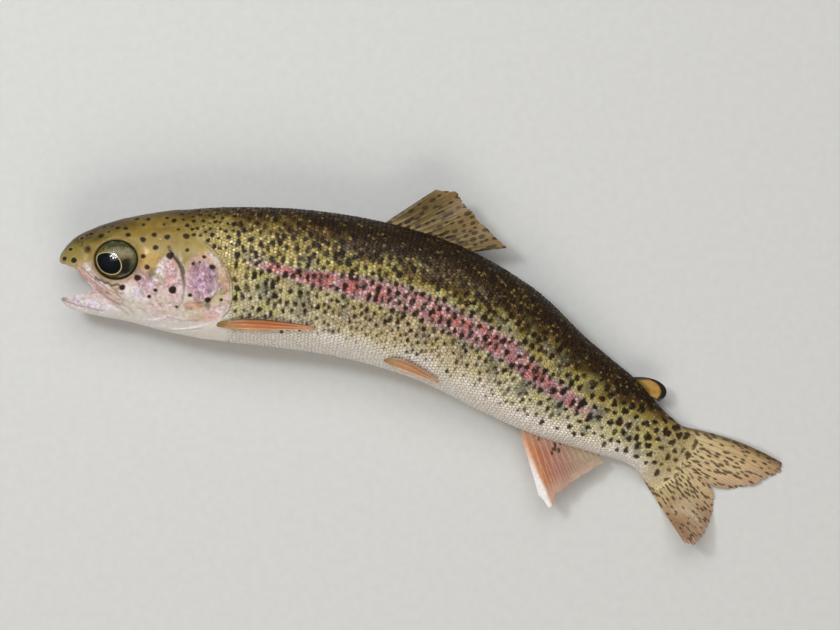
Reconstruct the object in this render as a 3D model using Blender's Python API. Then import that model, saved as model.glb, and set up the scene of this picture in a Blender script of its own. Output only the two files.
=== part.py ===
"""A rainbow trout at life size, lying on its right side with its left flank up.

Metres, +Z up. +X runs from the snout towards the tail, +Y from the belly towards the back, and +Z out
of the left flank. The origin is under the middle of the fish, on the surface it lies on.

The body is one skin that follows a bent axis. A place on the fish is given by how far it is along the
axis from the snout, how high it is above the axis (towards the back) and how far it is out from the
middle sheet of the fish, all in millimetres. The skin is made in three lengths (head, trunk and tail
stalk), the head is then parted into its own pieces, and each fin is a fan of rays from its root.
"""

from bisect import bisect_right
from collections import namedtuple
from math import copysign, cos, pi, radians, sin

import bmesh
import bpy
from mathutils import Vector

MM = 0.001
GAP = 0.3  # between two pieces that meet

# ---------------------------------------------------------------- driving sizes, in millimetres

STANDARD_LENGTH = 185.2  # snout to the root of the tail fin
HEAD_LENGTH = 49.3  # snout to the rear edge of the gill cover
SHOULDER = 68.0  # the thickest place
VENT = 127.0  # where the trunk gives way to the tail stalk
SPINE_HEIGHT = 10.3  # of the middle sheet above the ground, where the fish is thick
FLANK_FLAT = 0.35  # how far the lower flank is pressed flat where the thinning tail rests

# The body at named places: distance along the axis, height of the back above the axis, depth of the
# belly below it, half of the thickness, and the way the axis runs, in degrees down from +X.
Place = namedtuple("Place", "along back belly half_width heading")
BODY = [
    Place(0.0, 4.1, 9.4, 3.0, 2.8),  # snout and tip of the lower jaw
    Place(1.3, 5.9, 10.9, 4.6, 2.8),  # upper lip
    Place(4.0, 8.5, 12.3, 6.2, 2.8),  # nostril
    Place(10.0, 11.7, 13.4, 7.6, 3.0),  # front of the eye
    Place(17.5, 14.4, 14.4, 8.6, 3.0),  # back of the eye
    Place(33.0, 17.7, 17.4, 10.0, 3.0),  # cheek
    Place(HEAD_LENGTH, 19.4, 19.3, 10.6, 3.2),  # gill opening
    Place(SHOULDER, 20.1, 20.0, 11.0, 6.5),  # shoulder
    Place(96.0, 20.2, 20.2, 10.9, 16.5),  # front of the dorsal fin
    Place(VENT, 18.7, 19.6, 9.5, 31.0),  # vent
    Place(145.0, 15.3, 17.4, 7.7, 33.8),  # front of the anal fin
    Place(164.5, 12.9, 12.3, 5.6, 32.0),  # front of the adipose fin
    Place(179.0, 9.5, 8.8, 4.1, 36.5),  # narrowest part of the tail stalk
    Place(STANDARD_LENGTH, 9.4, 9.9, 3.2, 40.5),  # root of the tail fin
    Place(230.0, 9.4, 9.9, 1.4, 40.5),  # past the tips of the tail
]

SKIN_SIDES = 36  # faces round the body
FLANK_FULLNESS = 2.15  # 2 is an ellipse; more gives a fuller flank

EYE = Vector((16.4, 2.3))  # along the axis and above it
EYE_RADIUS = 5.9
EYE_DEPTH = 3.6  # half of the eyeball's thickness, out from the head
EYE_PROUD = 0.9  # how far the cornea stands out of the cheek

MOUTH_CORNER = Vector((11.1, -6.1))
UPPER_LIP = [Vector((-3.0, 1.2)), Vector((1.6, 0.2)), Vector((5.5, -1.1)), Vector((7.9, -3.8))]
LOWER_LIP = [Vector((-3.0, -9.6)), Vector((0.0, -8.9)), Vector((5.1, -7.8)), Vector((8.1, -7.2))]
MOUTH_HOLLOW = Vector((11.6, -6.4))  # middle of the hollow inside the jaws
MOUTH_HOLLOW_SIZE = Vector((9.0, 3.5, 4.4))  # its half length, half height and half width

GILL_MIDDLE = Vector((35.5, -4.5))
GILL_SIZE = (13.4, 11.8)  # half length and half height of the gill cover
GILL_ROOT = 6.2  # how far out from the middle sheet the gill cover begins


# ---------------------------------------------------------------- the shape of the body


def smooth_curve(xs, ys):
    """A smooth curve through the points, which doesn't swing past them between two."""
    steps = [(ys[i + 1] - ys[i]) / (xs[i + 1] - xs[i]) for i in range(len(xs) - 1)]
    slopes = [steps[0]]
    for before, after in zip(steps, steps[1:]):
        flat = before * after <= 0
        slopes.append(0.0 if flat else 2 * before * after / (before + after))
    slopes.append(steps[-1])

    def value(x):
        x = min(max(x, xs[0]), xs[-1])
        i = min(bisect_right(xs, x) - 1, len(xs) - 2)
        width = xs[i + 1] - xs[i]
        s = (x - xs[i]) / width
        rise = s * s * (3 - 2 * s)
        return (
            ys[i] * (1 - rise)
            + ys[i + 1] * rise
            + width * s * (1 - s) * ((1 - s) * slopes[i] - s * slopes[i + 1])
        )

    return value


ALONG = [p.along for p in BODY]
back_height = smooth_curve(ALONG, [p.back for p in BODY])
belly_depth = smooth_curve(ALONG, [p.belly for p in BODY])
half_width = smooth_curve(ALONG, [p.half_width for p in BODY])
heading = smooth_curve(ALONG, [p.heading for p in BODY])

AXIS_STEP = 0.5


def run_axis():
    """Points along the bent axis, one every AXIS_STEP."""
    points = [Vector((0.0, 0.0))]
    for i in range(int(ALONG[-1] / AXIS_STEP)):
        down = radians(heading((i + 0.5) * AXIS_STEP))
        points.append(points[-1] + AXIS_STEP * Vector((cos(down), -sin(down))))
    return points


AXIS = run_axis()


def axis_at(along):
    """The axis's point at this place, carried on straight in front of the snout."""
    if along <= 0:
        return AXIS[0] + along * tail_way(0)
    i = min(int(along / AXIS_STEP), len(AXIS) - 2)
    return AXIS[i].lerp(AXIS[i + 1], along / AXIS_STEP - i)


def tail_way(along):
    down = radians(heading(along))
    return Vector((cos(down), -sin(down)))


def middle_height(along):
    """Height of the fish's middle sheet: the tail lies lower as it thins, and so rests too."""
    if along < SHOULDER:
        return SPINE_HEIGHT
    return min(SPINE_HEIGHT, half_width(along) - FLANK_FLAT)


def spot(along, above, out=0.0):
    """The point of space at a place on the fish, never below the ground."""
    way = tail_way(along)
    flat = axis_at(along) + above * Vector((-way.y, way.x))
    return Vector((flat.x, flat.y, max(middle_height(along) + out, 0.0)))


def round_power(x, fullness):
    return copysign(abs(x) ** (2 / fullness), x)


def skin_ring(along, grow=0.0):
    """The body's section: a full oval, flattened where it lies on the ground."""
    ring = []
    for i in range(SKIN_SIDES):
        turn = 2 * pi * i / SKIN_SIDES
        up = round_power(cos(turn), FLANK_FULLNESS)
        out = round_power(sin(turn), FLANK_FULLNESS)
        height = back_height(along) if up > 0 else belly_depth(along)
        ring.append(
            spot(along, up * (height + grow), out * (half_width(along) + grow))
        )
    return ring


def flank_out(along, above):
    """How far out from the middle sheet the skin is, at a place seen from the side."""
    height = back_height(along) if above > 0 else belly_depth(along)
    share = min(abs(above) / height, 1.0) ** FLANK_FULLNESS
    return half_width(along) * (1 - share) ** (1 / FLANK_FULLNESS)


# ---------------------------------------------------------------- making objects


def clear_scene():
    for obj in list(bpy.data.objects):
        bpy.data.objects.remove(obj)


def plain_material(name, colour, roughness):
    material = bpy.data.materials.new(name)
    material.use_nodes = True
    shader = material.node_tree.nodes["Principled BSDF"]
    shader.inputs["Base Color"].default_value = (*colour, 1.0)
    shader.inputs["Roughness"].default_value = roughness
    shader.inputs["Metallic"].default_value = 0.0
    return material


def solid(name, points, faces, material=None):
    """One closed object from points in millimetres and the faces that join them."""
    mesh = bpy.data.meshes.new(name)
    mesh.from_pydata([p * MM for p in points], [], faces)
    bm = bmesh.new()
    bm.from_mesh(mesh)
    bmesh.ops.remove_doubles(bm, verts=bm.verts, dist=0.01 * MM)
    bmesh.ops.dissolve_degenerate(bm, edges=bm.edges, dist=0.01 * MM)
    bmesh.ops.recalc_face_normals(bm, faces=bm.faces)
    bm.to_mesh(mesh)
    bm.free()
    mesh.shade_smooth()
    mesh.set_sharp_from_angle(angle=radians(35))
    obj = bpy.data.objects.new(name, mesh)
    bpy.context.scene.collection.objects.link(obj)
    if material:
        mesh.materials.append(material)
    return obj


def loft(name, rings, material=None):
    """Joins rings of equal count into one skin, with a flat face over each end."""
    count = len(rings[0])
    faces = [tuple(range(count)), tuple(range(len(rings) * count - count, len(rings) * count))]
    for r in range(len(rings) - 1):
        for i in range(count):
            j = (i + 1) % count
            faces.append(
                (r * count + i, r * count + j, (r + 1) * count + j, (r + 1) * count + i)
            )
    return solid(name, [p for ring in rings for p in ring], faces, material)


def cut(obj, cutter, operation="DIFFERENCE"):
    """Cuts obj by another object, which is then kept only as a guide."""
    modifier = obj.modifiers.new(cutter.name, "BOOLEAN")
    modifier.operation = operation
    modifier.solver = "EXACT"
    modifier.object = cutter
    cutter.hide_render = True
    cutter.hide_viewport = True
    cutter.display_type = "WIRE"


def side_prism(name, outline, low, high):
    """A cutter with this outline from the side, from low to high out of the middle sheet."""
    rings = []
    for out in (low, high):
        ring = []
        for along, above in outline:
            way = tail_way(along)
            flat = axis_at(along) + above * Vector((-way.y, way.x))
            ring.append(Vector((flat.x, flat.y, SPINE_HEIGHT + out)))
        rings.append(ring)
    return loft(name, rings)


def ball(name, along, above, out, size, material=None, segments=20, rings=14):
    """An oval ball with half sizes along the axis, across it and out from the middle."""
    bm = bmesh.new()
    bmesh.ops.create_uvsphere(bm, u_segments=segments, v_segments=rings, radius=1.0)
    way = tail_way(along)
    flat = axis_at(along) + above * Vector((-way.y, way.x))
    centre = Vector((flat.x, flat.y, SPINE_HEIGHT + out))
    for v in bm.verts:
        x, y, z = v.co.x * size[0], v.co.y * size[1], v.co.z * size[2]
        v.co = (centre + Vector((x * way.x - y * way.y, x * way.y + y * way.x, z))) * MM
    mesh = bpy.data.meshes.new(name)
    bm.to_mesh(mesh)
    bm.free()
    mesh.shade_smooth()
    if material:
        mesh.materials.append(material)
    obj = bpy.data.objects.new(name, mesh)
    bpy.context.scene.collection.objects.link(obj)
    return obj


# ---------------------------------------------------------------- body and head


def body_length(name, start, end, step, material=None, grow=0.0, nose=()):
    """The skin between two places along the axis, with flat ends."""
    count = max(2, round((end - start) / step))
    places = [start + (end - start) * i / count for i in range(count + 1)]
    places = sorted(set(places) | set(nose))
    return loft(name, [skin_ring(p, grow) for p in places], material)


def mouth_gap():
    """The open wedge between the jaws, from in front of the snout to the mouth's corner."""
    step = Vector((0.0, GAP / 2))
    outline = LOWER_LIP + [MOUTH_CORNER - step, MOUTH_CORNER + step] + UPPER_LIP[::-1]
    return side_prism("cutter_mouth_gap", outline, -15.0, 15.0)


def mouth_hollow():
    along, above = MOUTH_HOLLOW
    return ball("cutter_mouth_hollow", along, above, 0.0, MOUTH_HOLLOW_SIZE)


def jaw_outline(grow):
    """The lower jaw from the side: all of the chin in front of the cheek."""
    return [
        (-4.0, MOUTH_CORNER.y - 0.1 + grow),
        (MOUTH_CORNER.x + grow, MOUTH_CORNER.y - 0.1 + grow),
        (18.6 + grow, -10.6 + grow),
        (25.0 + grow, -16.8 + grow),
        (26.0 + grow, -24.0),
        (-4.0, -24.0),
    ]


def gill_outline(grow):
    """The gill cover from the side: round at the back, nearly straight at the cheek."""
    outline = []
    for i in range(19):
        turn = radians(-112 + 224 * i / 18)
        along = GILL_MIDDLE.x + (GILL_SIZE[0] + grow) * cos(turn)
        above = GILL_MIDDLE.y + (GILL_SIZE[1] + grow) * sin(turn)
        outline.append((along, above))
    return outline


def gill_cutter(name, side, grow):
    near, far = GILL_ROOT - grow, 16.0
    low, high = (near, far) if side > 0 else (-far, -near)
    return side_prism(name, gill_outline(grow), low, high)


def eyeball(name, side, grow=0.0, material=None):
    out = flank_out(*EYE) + EYE_PROUD - EYE_DEPTH
    size = (EYE_RADIUS + grow, EYE_RADIUS + grow, EYE_DEPTH + grow)
    return ball(name, EYE.x, EYE.y, side * out, size, material, segments=22, rings=10)


def upper_jaw_blade(name, side, material):
    """The thin bone that runs from the lip over the corner of the mouth, on the skin."""
    front, rear = Vector((6.5, -1.5)), Vector((18.0, -9.1))
    front_width, rear_width = 1.7, 3.0
    thick, lift = 0.75, GAP + 0.1
    way = (rear - front).normalized()
    across = Vector((-way.y, way.x))
    length = (rear - front).length
    rows, columns = 8, 4
    skins = []
    for height in (lift, lift + thick):
        for r in range(rows + 1):
            share = r / rows
            width = front_width + (rear_width - front_width) * share
            end_round = (1 - max(0.0, share - 0.7) ** 2 / 0.12) ** 0.5
            for c in range(columns + 1):
                side_share = 2 * c / columns - 1
                place = front + share * length * way + side_share * width / 2 * end_round * across
                edge = height if height == lift else height - 0.35 * side_share**2
                out = flank_out(place.x, place.y) + edge
                skins.append(spot(place.x, place.y, side * out))
    return solid(name, skins, sheet_faces(rows, columns), material)


def sheet_faces(rows, columns):
    """Faces of a plate of two grids of points, one for each side, and of its rim."""
    wide = columns + 1
    far = (rows + 1) * wide
    faces = []
    for r in range(rows):
        for c in range(columns):
            a, b = r * wide + c, (r + 1) * wide + c
            faces.append((a, a + 1, b + 1, b))
            faces.append((far + a, far + b, far + b + 1, far + a + 1))
    rim = [c for c in range(columns + 1)]
    rim += [r * wide + columns for r in range(1, rows + 1)]
    rim += [rows * wide + c for c in range(columns - 1, -1, -1)]
    rim += [r * wide for r in range(rows - 1, 0, -1)]
    for a, b in zip(rim, rim[1:] + rim[:1]):
        faces.append((a, far + a, far + b, b))
    return faces


def make_head(skin, pale, eye):
    nose = (0.4, 1.0, 1.8, 3.0, 4.4)
    whole = dict(start=0.0, end=HEAD_LENGTH, step=2.9, nose=nose)
    gap, hollow = mouth_gap(), mouth_hollow()

    head = body_length("head", material=skin, **whole)
    cut(head, side_prism("cutter_jaw_room", jaw_outline(GAP), -15.0, 15.0))
    cut(head, gap)
    cut(head, hollow)
    for side, word in ((1, "left"), (-1, "right")):
        cut(head, eyeball(f"cutter_socket_{word}", side, GAP))
        cut(head, gill_cutter(f"cutter_gill_room_{word}", side, GAP))
        eyeball(f"eye_{word}", side, material=eye)
        cover = body_length(f"gill_cover_{word}", material=pale, **whole)
        cut(cover, gill_cutter(f"cutter_gill_cover_{word}", side, 0.0), "INTERSECT")
        upper_jaw_blade(f"upper_jaw_{word}", side, pale)

    jaw = body_length("lower_jaw", material=pale, **whole)
    cut(jaw, side_prism("cutter_jaw", jaw_outline(0.0), -15.0, 15.0), "INTERSECT")
    cut(jaw, gap)
    cut(jaw, hollow)
    ball("tongue", 10.8, -8.35, 0.0, (5.4, 1.1, 2.3), pale, segments=14, rings=8)


# ---------------------------------------------------------------- fins

# A fin is a fan of rays. Its root runs from front to rear, each ray leaves the root at an angle from
# the way to the tail, and the ends of the rays make the fin's outline.
Fan = namedtuple("Fan", "root_front root_rear back outward angles lengths thick rows columns")


def fan_point(fan, down, across, face):
    """A point of the fan: down its rays, across from front to rear, on one face or the other."""
    root = fan.root_front.lerp(fan.root_rear, across)
    turn = radians(fan.angles(across))
    way = cos(turn) * fan.back + sin(turn) * fan.outward
    place = root + way * fan.lengths(across) * down
    normal = fan.back.cross(fan.outward).normalized()
    return place + normal * face * fan.thick(down, across) / 2


def fan_solid(name, fan, material, bend=None):
    points = []
    for face in (-1, 1):
        for r in range(fan.rows + 1):
            for c in range(fan.columns + 1):
                down, across = r / fan.rows, c / fan.columns
                place = fan_point(fan, down, across, face)
                if bend:
                    place = bend(place, down, across)
                points.append(place)
    lowest = min(p.z for p in points)
    if lowest < 0:
        points = [p + Vector((0, 0, max(0.0, -p.z))) for p in points]
    return solid(name, points, sheet_faces(fan.rows, fan.columns), material)


def trimmed(fin, start, end):
    """Cuts away what of a fin would lie inside the body, with the usual gap."""
    body = body_length(f"cutter_body_at_{fin.name}", start, end, 2.6, grow=GAP)
    cut(fin, body)


def frame_at(along):
    way = tail_way(along)
    return Vector((way.x, way.y, 0.0)), Vector((-way.y, way.x, 0.0))


def blend(a, b, share):
    return a + (b - a) * share


def ease(low, high, x):
    """0 below low, 1 above high, and smooth between."""
    s = min(max((x - low) / (high - low), 0.0), 1.0)
    return s * s * (3 - 2 * s)


def make_dorsal_fin(material):
    start, end, sunk = 86.0, 108.0, 1.5
    back, up = frame_at((start + end) / 2)
    fan = Fan(
        spot(start, back_height(start) - sunk),
        spot(end, back_height(end) - sunk),
        back,
        up,
        lambda v: blend(50.0, 24.0, v**0.8),
        lambda v: sunk + blend(22.5, 10.5, v**0.75) * (0.8 + 0.2 * ease(0.0, 0.12, v)),
        lambda u, v: blend(1.6, 0.6, ease(0.0, 0.5, u)),
        8,
        12,
    )
    trimmed(fan_solid("dorsal_fin", fan, material), 74.0, 128.0)


def make_anal_fin(material):
    start, end, sunk = 144.0, 166.5, 1.2
    back, up = frame_at((start + end) / 2)
    fan = Fan(
        spot(start, -belly_depth(start) + sunk),
        spot(end, -belly_depth(end) + sunk),
        back,
        -up,
        lambda v: blend(41.0, 24.0, v),
        lambda v: sunk + blend(28.5, 3.0, v**0.62) * (0.74 + 0.26 * ease(0.0, 0.09, v)),
        lambda u, v: blend(1.6, 0.6, ease(0.0, 0.45, u)),
        8,
        12,
    )
    trimmed(fan_solid("anal_fin", fan, material), 134.0, 181.0)


def make_adipose_fin(material):
    start, end, sunk = 163.5, 169.8, 1.0
    back, up = frame_at((start + end) / 2)
    fan = Fan(
        spot(start, back_height(start) - sunk),
        spot(end, back_height(end) - sunk),
        back,
        up,
        lambda v: blend(46.0, 4.0, v),
        lambda v: sunk + 1.7 + 1.3 * v + 4.0 * sin(pi * v**0.8),
        lambda u, v: blend(1.8, 0.9, u),
        6,
        8,
    )
    trimmed(fan_solid("adipose_fin", fan, material), 155.0, 180.0)


def make_tail_fin(material):
    """Two lobes from the end of the tail stalk. The lower lobe's tip curls up off the ground."""
    root = STANDARD_LENGTH + GAP
    back, up = frame_at(root)
    fork, fork_place = 12.2, 0.46
    upper_lobe, lower_lobe = 29.0, 23.2

    def lengths(v):
        if v < fork_place:
            reach = fork + (upper_lobe - fork) * ((fork_place - v) / fork_place) ** 0.65
        else:
            reach = fork + (lower_lobe - fork) * ((v - fork_place) / (1 - fork_place)) ** 0.35
        return reach - 4.0 * ease(0.8, 1.0, v)

    fan = Fan(
        spot(root, back_height(root) - 0.1),
        spot(root, -belly_depth(root) + 0.1),
        back,
        up,
        lambda v: blend(22.0, -19.5, v),
        lengths,
        lambda u, v: blend(3.0, 0.6, ease(0.0, 0.35, u)),
        8,
        22,
    )

    def settle(place, down, across):
        """Lays the fin on the ground past its root, bows its upper edge, and curls the lower lobe."""
        face = place.z - fan.root_front.z
        lying = blend(fan.root_front.z, 0.3, ease(0.0, 0.45, down))
        curl = 8.5 * ease(0.6, 0.95, across) * ease(0.5, 1.1, down)
        bow = 1.9 * sin(pi * min(down, 1.0)) * ease(0.3, 0.0, across)
        return Vector((place.x, place.y, lying + curl + face)) + bow * up

    fan_solid("tail_fin", fan, material, bend=settle)


def make_paired_fin(name, side, material, start, above, length, width, spread, lift):
    """A folded fin laid back along the belly: a narrow blade of rays, just off the skin."""
    rows, columns, thick = 10, 4, 0.9
    points = []
    for face in (0, 1):
        for r in range(rows + 1):
            down = r / rows
            taper = ease(-0.25, 0.25, down) * (1 - 0.72 * ease(0.45, 1.05, down))
            for c in range(columns + 1):
                across = c / columns - 0.5
                along = start + length * down
                height = above + spread * down + across * width * taper
                edge = thick * (1 - 0.5 * (2 * across) ** 2) * (1 - 0.35 * down)
                out = flank_out(along, height) + GAP + 0.15 + lift * down + face * edge
                points.append(spot(along, height, side * out))
    return solid(name, points, sheet_faces(rows, columns), material)


def make_paired_fins(material):
    for side, word in ((1, "left"), (-1, "right")):
        make_paired_fin(f"pectoral_fin_{word}", side, material, 45.0, -14.6, 28.5, 3.0, 1.7, 0.3)
        make_paired_fin(f"pelvic_fin_{word}", side, material, 97.0, -17.4, 19.0, 3.0, -0.2, 0.2)


# ---------------------------------------------------------------- the whole fish


def set_origin_at_base():
    """Moves the fish so that the middle of its footprint is at the origin, on the ground."""
    bpy.context.view_layer.update()
    graph = bpy.context.evaluated_depsgraph_get()
    parts = [o for o in bpy.data.objects if not o.hide_render]
    corners = [Vector(c) for o in parts for c in o.evaluated_get(graph).bound_box]
    low = Vector(min(c[i] for c in corners) for i in range(3))
    high = Vector(max(c[i] for c in corners) for i in range(3))
    shift = Vector((-(low.x + high.x) / 2, -(low.y + high.y) / 2, -low.z))
    for obj in bpy.data.objects:
        obj.location += shift


def main():
    clear_scene()
    skin = plain_material("olive_skin", (0.34, 0.31, 0.12), 0.35)
    pale = plain_material("pale_skin", (0.72, 0.58, 0.56), 0.3)
    fin = plain_material("fin_ray", (0.55, 0.36, 0.22), 0.4)
    eye = plain_material("dark_eye", (0.02, 0.03, 0.03), 0.1)

    make_head(skin, pale, eye)
    body_length("trunk", HEAD_LENGTH + GAP, VENT, 4.3, skin)
    body_length("tail_stalk", VENT + GAP, STANDARD_LENGTH, 3.6, skin)
    make_dorsal_fin(fin)
    make_anal_fin(fin)
    make_adipose_fin(fin)
    make_tail_fin(fin)
    make_paired_fins(fin)
    set_origin_at_base()


main()
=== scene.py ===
"""The looks of a rainbow trout at life size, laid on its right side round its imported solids.

Everything is worked out in millimetres on the fish itself: how far along its bent axis from the snout, how
high above that axis (towards the back) and how far out of its middle sheet. One wet skin covers head,
trunk and tail stalk. Over it lie rows of thin scales, and the fins are fine fans of branching rays.
Skin and scales read the same markings: dark spots, grey parr marks and the rosy stripe.
"""

from collections import namedtuple
from functools import partial
from math import cos, pi, radians, sin

import bmesh
import bpy
import numpy as np
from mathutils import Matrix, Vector


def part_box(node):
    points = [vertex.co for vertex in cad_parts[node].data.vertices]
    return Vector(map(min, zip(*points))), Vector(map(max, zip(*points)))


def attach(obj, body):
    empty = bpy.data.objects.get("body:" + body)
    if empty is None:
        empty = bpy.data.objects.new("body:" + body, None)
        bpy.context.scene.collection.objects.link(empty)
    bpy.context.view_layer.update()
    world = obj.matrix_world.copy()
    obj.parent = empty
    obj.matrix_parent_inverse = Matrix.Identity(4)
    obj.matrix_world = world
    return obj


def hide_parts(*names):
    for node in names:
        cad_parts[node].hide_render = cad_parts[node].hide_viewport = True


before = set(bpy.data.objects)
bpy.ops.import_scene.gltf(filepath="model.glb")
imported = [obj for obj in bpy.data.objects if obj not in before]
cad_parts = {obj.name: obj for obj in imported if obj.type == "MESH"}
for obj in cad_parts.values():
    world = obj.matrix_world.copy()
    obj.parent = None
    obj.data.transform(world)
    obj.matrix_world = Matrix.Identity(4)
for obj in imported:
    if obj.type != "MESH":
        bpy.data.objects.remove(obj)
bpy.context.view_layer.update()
MM = 0.001

# ---------------------------------------------------------------- driving sizes, in millimetres

STANDARD_LENGTH = 185.2  # snout to the root of the tail fin
HEAD_LENGTH = 49.3  # snout to the rear edge of the gill cover
SHOULDER = 68.0  # the thickest place
VENT = 127.0  # where the trunk gives way to the tail stalk
SPINE_HEIGHT = 10.3  # of the middle sheet above the ground, where the fish is thick
FLANK_FLAT = 0.35  # how far the lower flank is pressed flat where the thinning tail rests
FLANK_FULLNESS = 2.15  # of the body's section: 2 is an ellipse, more is a fuller flank
COAT_DEPTH = 0.25  # of the scales, which the skin lies under
FLESH_END = 193.0  # where the flesh thins out over the tail fin
GROUND_GAP = 0.02  # the least height of any scale or fin over the ground
SIDES = ((1, "left"), (-1, "right"))  # the left flank is the upper one
SEED = 7

# The body at named places: distance along the axis, height of the back above the axis, depth of the
# belly below it, half of the thickness, and the way the axis runs, in degrees down from +X.
Place = namedtuple("Place", "along back belly half_width heading")
BODY = [
    Place(0.0, 4.1, 9.4, 3.0, 2.8),  # snout and tip of the lower jaw
    Place(1.3, 5.9, 10.9, 4.6, 2.8),  # upper lip
    Place(4.0, 8.5, 12.3, 6.2, 2.8),  # nostril
    Place(10.0, 11.7, 13.4, 7.6, 3.0),  # front of the eye
    Place(17.5, 14.4, 14.4, 8.6, 3.0),  # back of the eye
    Place(33.0, 17.7, 17.4, 10.0, 3.0),  # cheek
    Place(HEAD_LENGTH, 19.4, 19.3, 10.6, 3.2),  # gill opening
    Place(SHOULDER, 20.1, 20.0, 11.0, 6.5),  # shoulder
    Place(96.0, 20.2, 20.2, 10.9, 16.5),  # front of the dorsal fin
    Place(VENT, 18.7, 19.6, 9.5, 31.0),  # vent
    Place(145.0, 15.3, 17.4, 7.7, 33.8),  # front of the anal fin
    Place(164.5, 12.9, 12.3, 5.6, 32.0),  # front of the adipose fin
    Place(179.0, 9.5, 8.8, 4.1, 36.5),  # narrowest part of the tail stalk
    Place(STANDARD_LENGTH, 9.4, 9.9, 3.2, 40.5),  # root of the tail fin
    Place(230.0, 9.4, 9.9, 1.4, 40.5),  # past the tips of the tail
]

EYE = (16.4, 2.3)  # along the axis and above it
EYE_SIZE = (6.05, 5.4)  # half its length and half its height, as the skin leaves it open
EYE_SINK = 0.75  # how far the edge of the eye lies under the skin round it
EYE_DOME = 1.9  # how far the clear dome stands above that edge

MOUTH_CORNER = (11.1, -6.1)
UPPER_LIP = [(-3.0, 1.2), (1.6, 0.2), (5.5, -1.1), (7.9, -3.8)]
LOWER_LIP = [(-3.0, -9.6), (0.0, -8.9), (5.1, -7.8), (8.1, -7.2)]
MOUTH_HOLLOW = (11.6, -6.4)
MOUTH_HOLLOW_SIZE = (9.0, 3.5, 4.4)

# ---------------------------------------------------------------- the shape of the body


def smooth_curve(xs, ys):
    """A smooth curve through the points, which doesn't swing past them between two."""
    xs, ys = np.array(xs, float), np.array(ys, float)
    widths = np.diff(xs)
    steps = np.diff(ys) / widths
    before, after = steps[:-1], steps[1:]
    one_way = before * after > 0
    inner = np.where(one_way, 2 * before * after / np.where(one_way, before + after, 1.0), 0.0)
    slopes = np.concatenate([steps[:1], inner, steps[-1:]])

    def value(x):
        x = np.clip(x, xs[0], xs[-1])
        i = np.clip(np.searchsorted(xs, x, side="right") - 1, 0, len(xs) - 2)
        s = (x - xs[i]) / widths[i]
        rise = s * s * (3 - 2 * s)
        swing = widths[i] * s * (1 - s) * ((1 - s) * slopes[i] - s * slopes[i + 1])
        return ys[i] * (1 - rise) + ys[i + 1] * rise + swing

    return value


def ease(low, high, x):
    """0 below low, 1 above high, and smooth between."""
    s = np.clip((x - low) / (high - low), 0.0, 1.0)
    return s * s * (3 - 2 * s)


def blend(a, b, share):
    """From a to b by this share of the way."""
    return a + (b - a) * share


def hump(x, middle, reach):
    """1 at the middle, falling off smoothly over the reach."""
    return np.exp(-(((x - middle) / reach) ** 2))


ALONG = [p.along for p in BODY]
back_height = smooth_curve(ALONG, [p.back for p in BODY])
belly_depth = smooth_curve(ALONG, [p.belly for p in BODY])
body_half_width = smooth_curve(ALONG, [p.half_width for p in BODY])
heading = smooth_curve(ALONG, [p.heading for p in BODY])

AXIS_STEP = 0.5
AXIS_TURNS = np.radians(heading((np.arange(int(ALONG[-1] / AXIS_STEP)) + 0.5) * AXIS_STEP))
AXIS_X = np.concatenate([[0.0], np.cumsum(AXIS_STEP * np.cos(AXIS_TURNS))])
AXIS_Y = np.concatenate([[0.0], np.cumsum(-AXIS_STEP * np.sin(AXIS_TURNS))])
AXIS_ALONG = np.arange(len(AXIS_X)) * AXIS_STEP


def axis_at(along):
    """The axis's x and y, carried on straight in front of the snout."""
    ahead = np.minimum(along, 0.0)
    turn = np.radians(heading(along))
    x = np.interp(along, AXIS_ALONG, AXIS_X) + ahead * np.cos(turn)
    y = np.interp(along, AXIS_ALONG, AXIS_Y) - ahead * np.sin(turn)
    return x, y, turn


TAIL_LIES_AT = 0.42  # height of the tail fin's middle sheet, where it lies on the ground


def half_width(along):
    """Half of the flesh's thickness, which runs out over the root of the tail fin."""
    thinning = ease(STANDARD_LENGTH - 5.0, FLESH_END + 0.5, along)
    return body_half_width(along) * (1 - 0.95 * thinning)


def middle_height(along):
    """Height of the fish's middle sheet: the tail lies lower as it thins, and so rests too."""
    lying = np.clip(half_width(along) - FLANK_FLAT, TAIL_LIES_AT, SPINE_HEIGHT)
    return np.where(along < SHOULDER, SPINE_HEIGHT, lying)


def frame_shift():
    """From the fish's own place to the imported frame's, read from where the eye's solid is."""
    x, y, turn = axis_at(EYE[0])
    low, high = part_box("eye_left")
    seen = (low + high) / 2 / MM
    return seen.x - (x + EYE[1] * sin(turn)), seen.y - (y + EYE[1] * cos(turn))


SHIFT_X, SHIFT_Y = frame_shift()


def spot(along, above, out=0.0, lowest=0.0):
    """Points of space, in millimetres, at places on the fish, never below the ground."""
    along, above, out = np.broadcast_arrays(*(np.asarray(a, float) for a in (along, above, out)))
    x, y, turn = axis_at(along)
    height = np.maximum(middle_height(along) + out, lowest)
    return np.stack(
        [x + above * np.sin(turn) + SHIFT_X, y + above * np.cos(turn) + SHIFT_Y, height], -1
    )


FITTING_ROUNDS = 14  # of finding where along the bent axis a point is


def place_of(points):
    """The other way round: along, above and out of points of space in millimetres."""
    x, y = points[:, 0] - SHIFT_X, points[:, 1] - SHIFT_Y
    along = x.copy()
    for _ in range(FITTING_ROUNDS):
        ax, ay, turn = axis_at(along)
        along = along + (x - ax) * np.cos(turn) - (y - ay) * np.sin(turn)
    ax, ay, turn = axis_at(along)
    above = (x - ax) * np.sin(turn) + (y - ay) * np.cos(turn)
    return along, above, points[:, 2] - middle_height(along)


def round_power(x):
    """A sine or cosine filled out to the body's section, which is a little squarer than an ellipse."""
    return np.sign(x) * np.abs(x) ** (2 / FLANK_FULLNESS)


def height_at(along, up):
    """Height of the back or depth of the belly, whichever side of the axis this is."""
    return np.where(up > 0, back_height(along), belly_depth(along))


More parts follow.
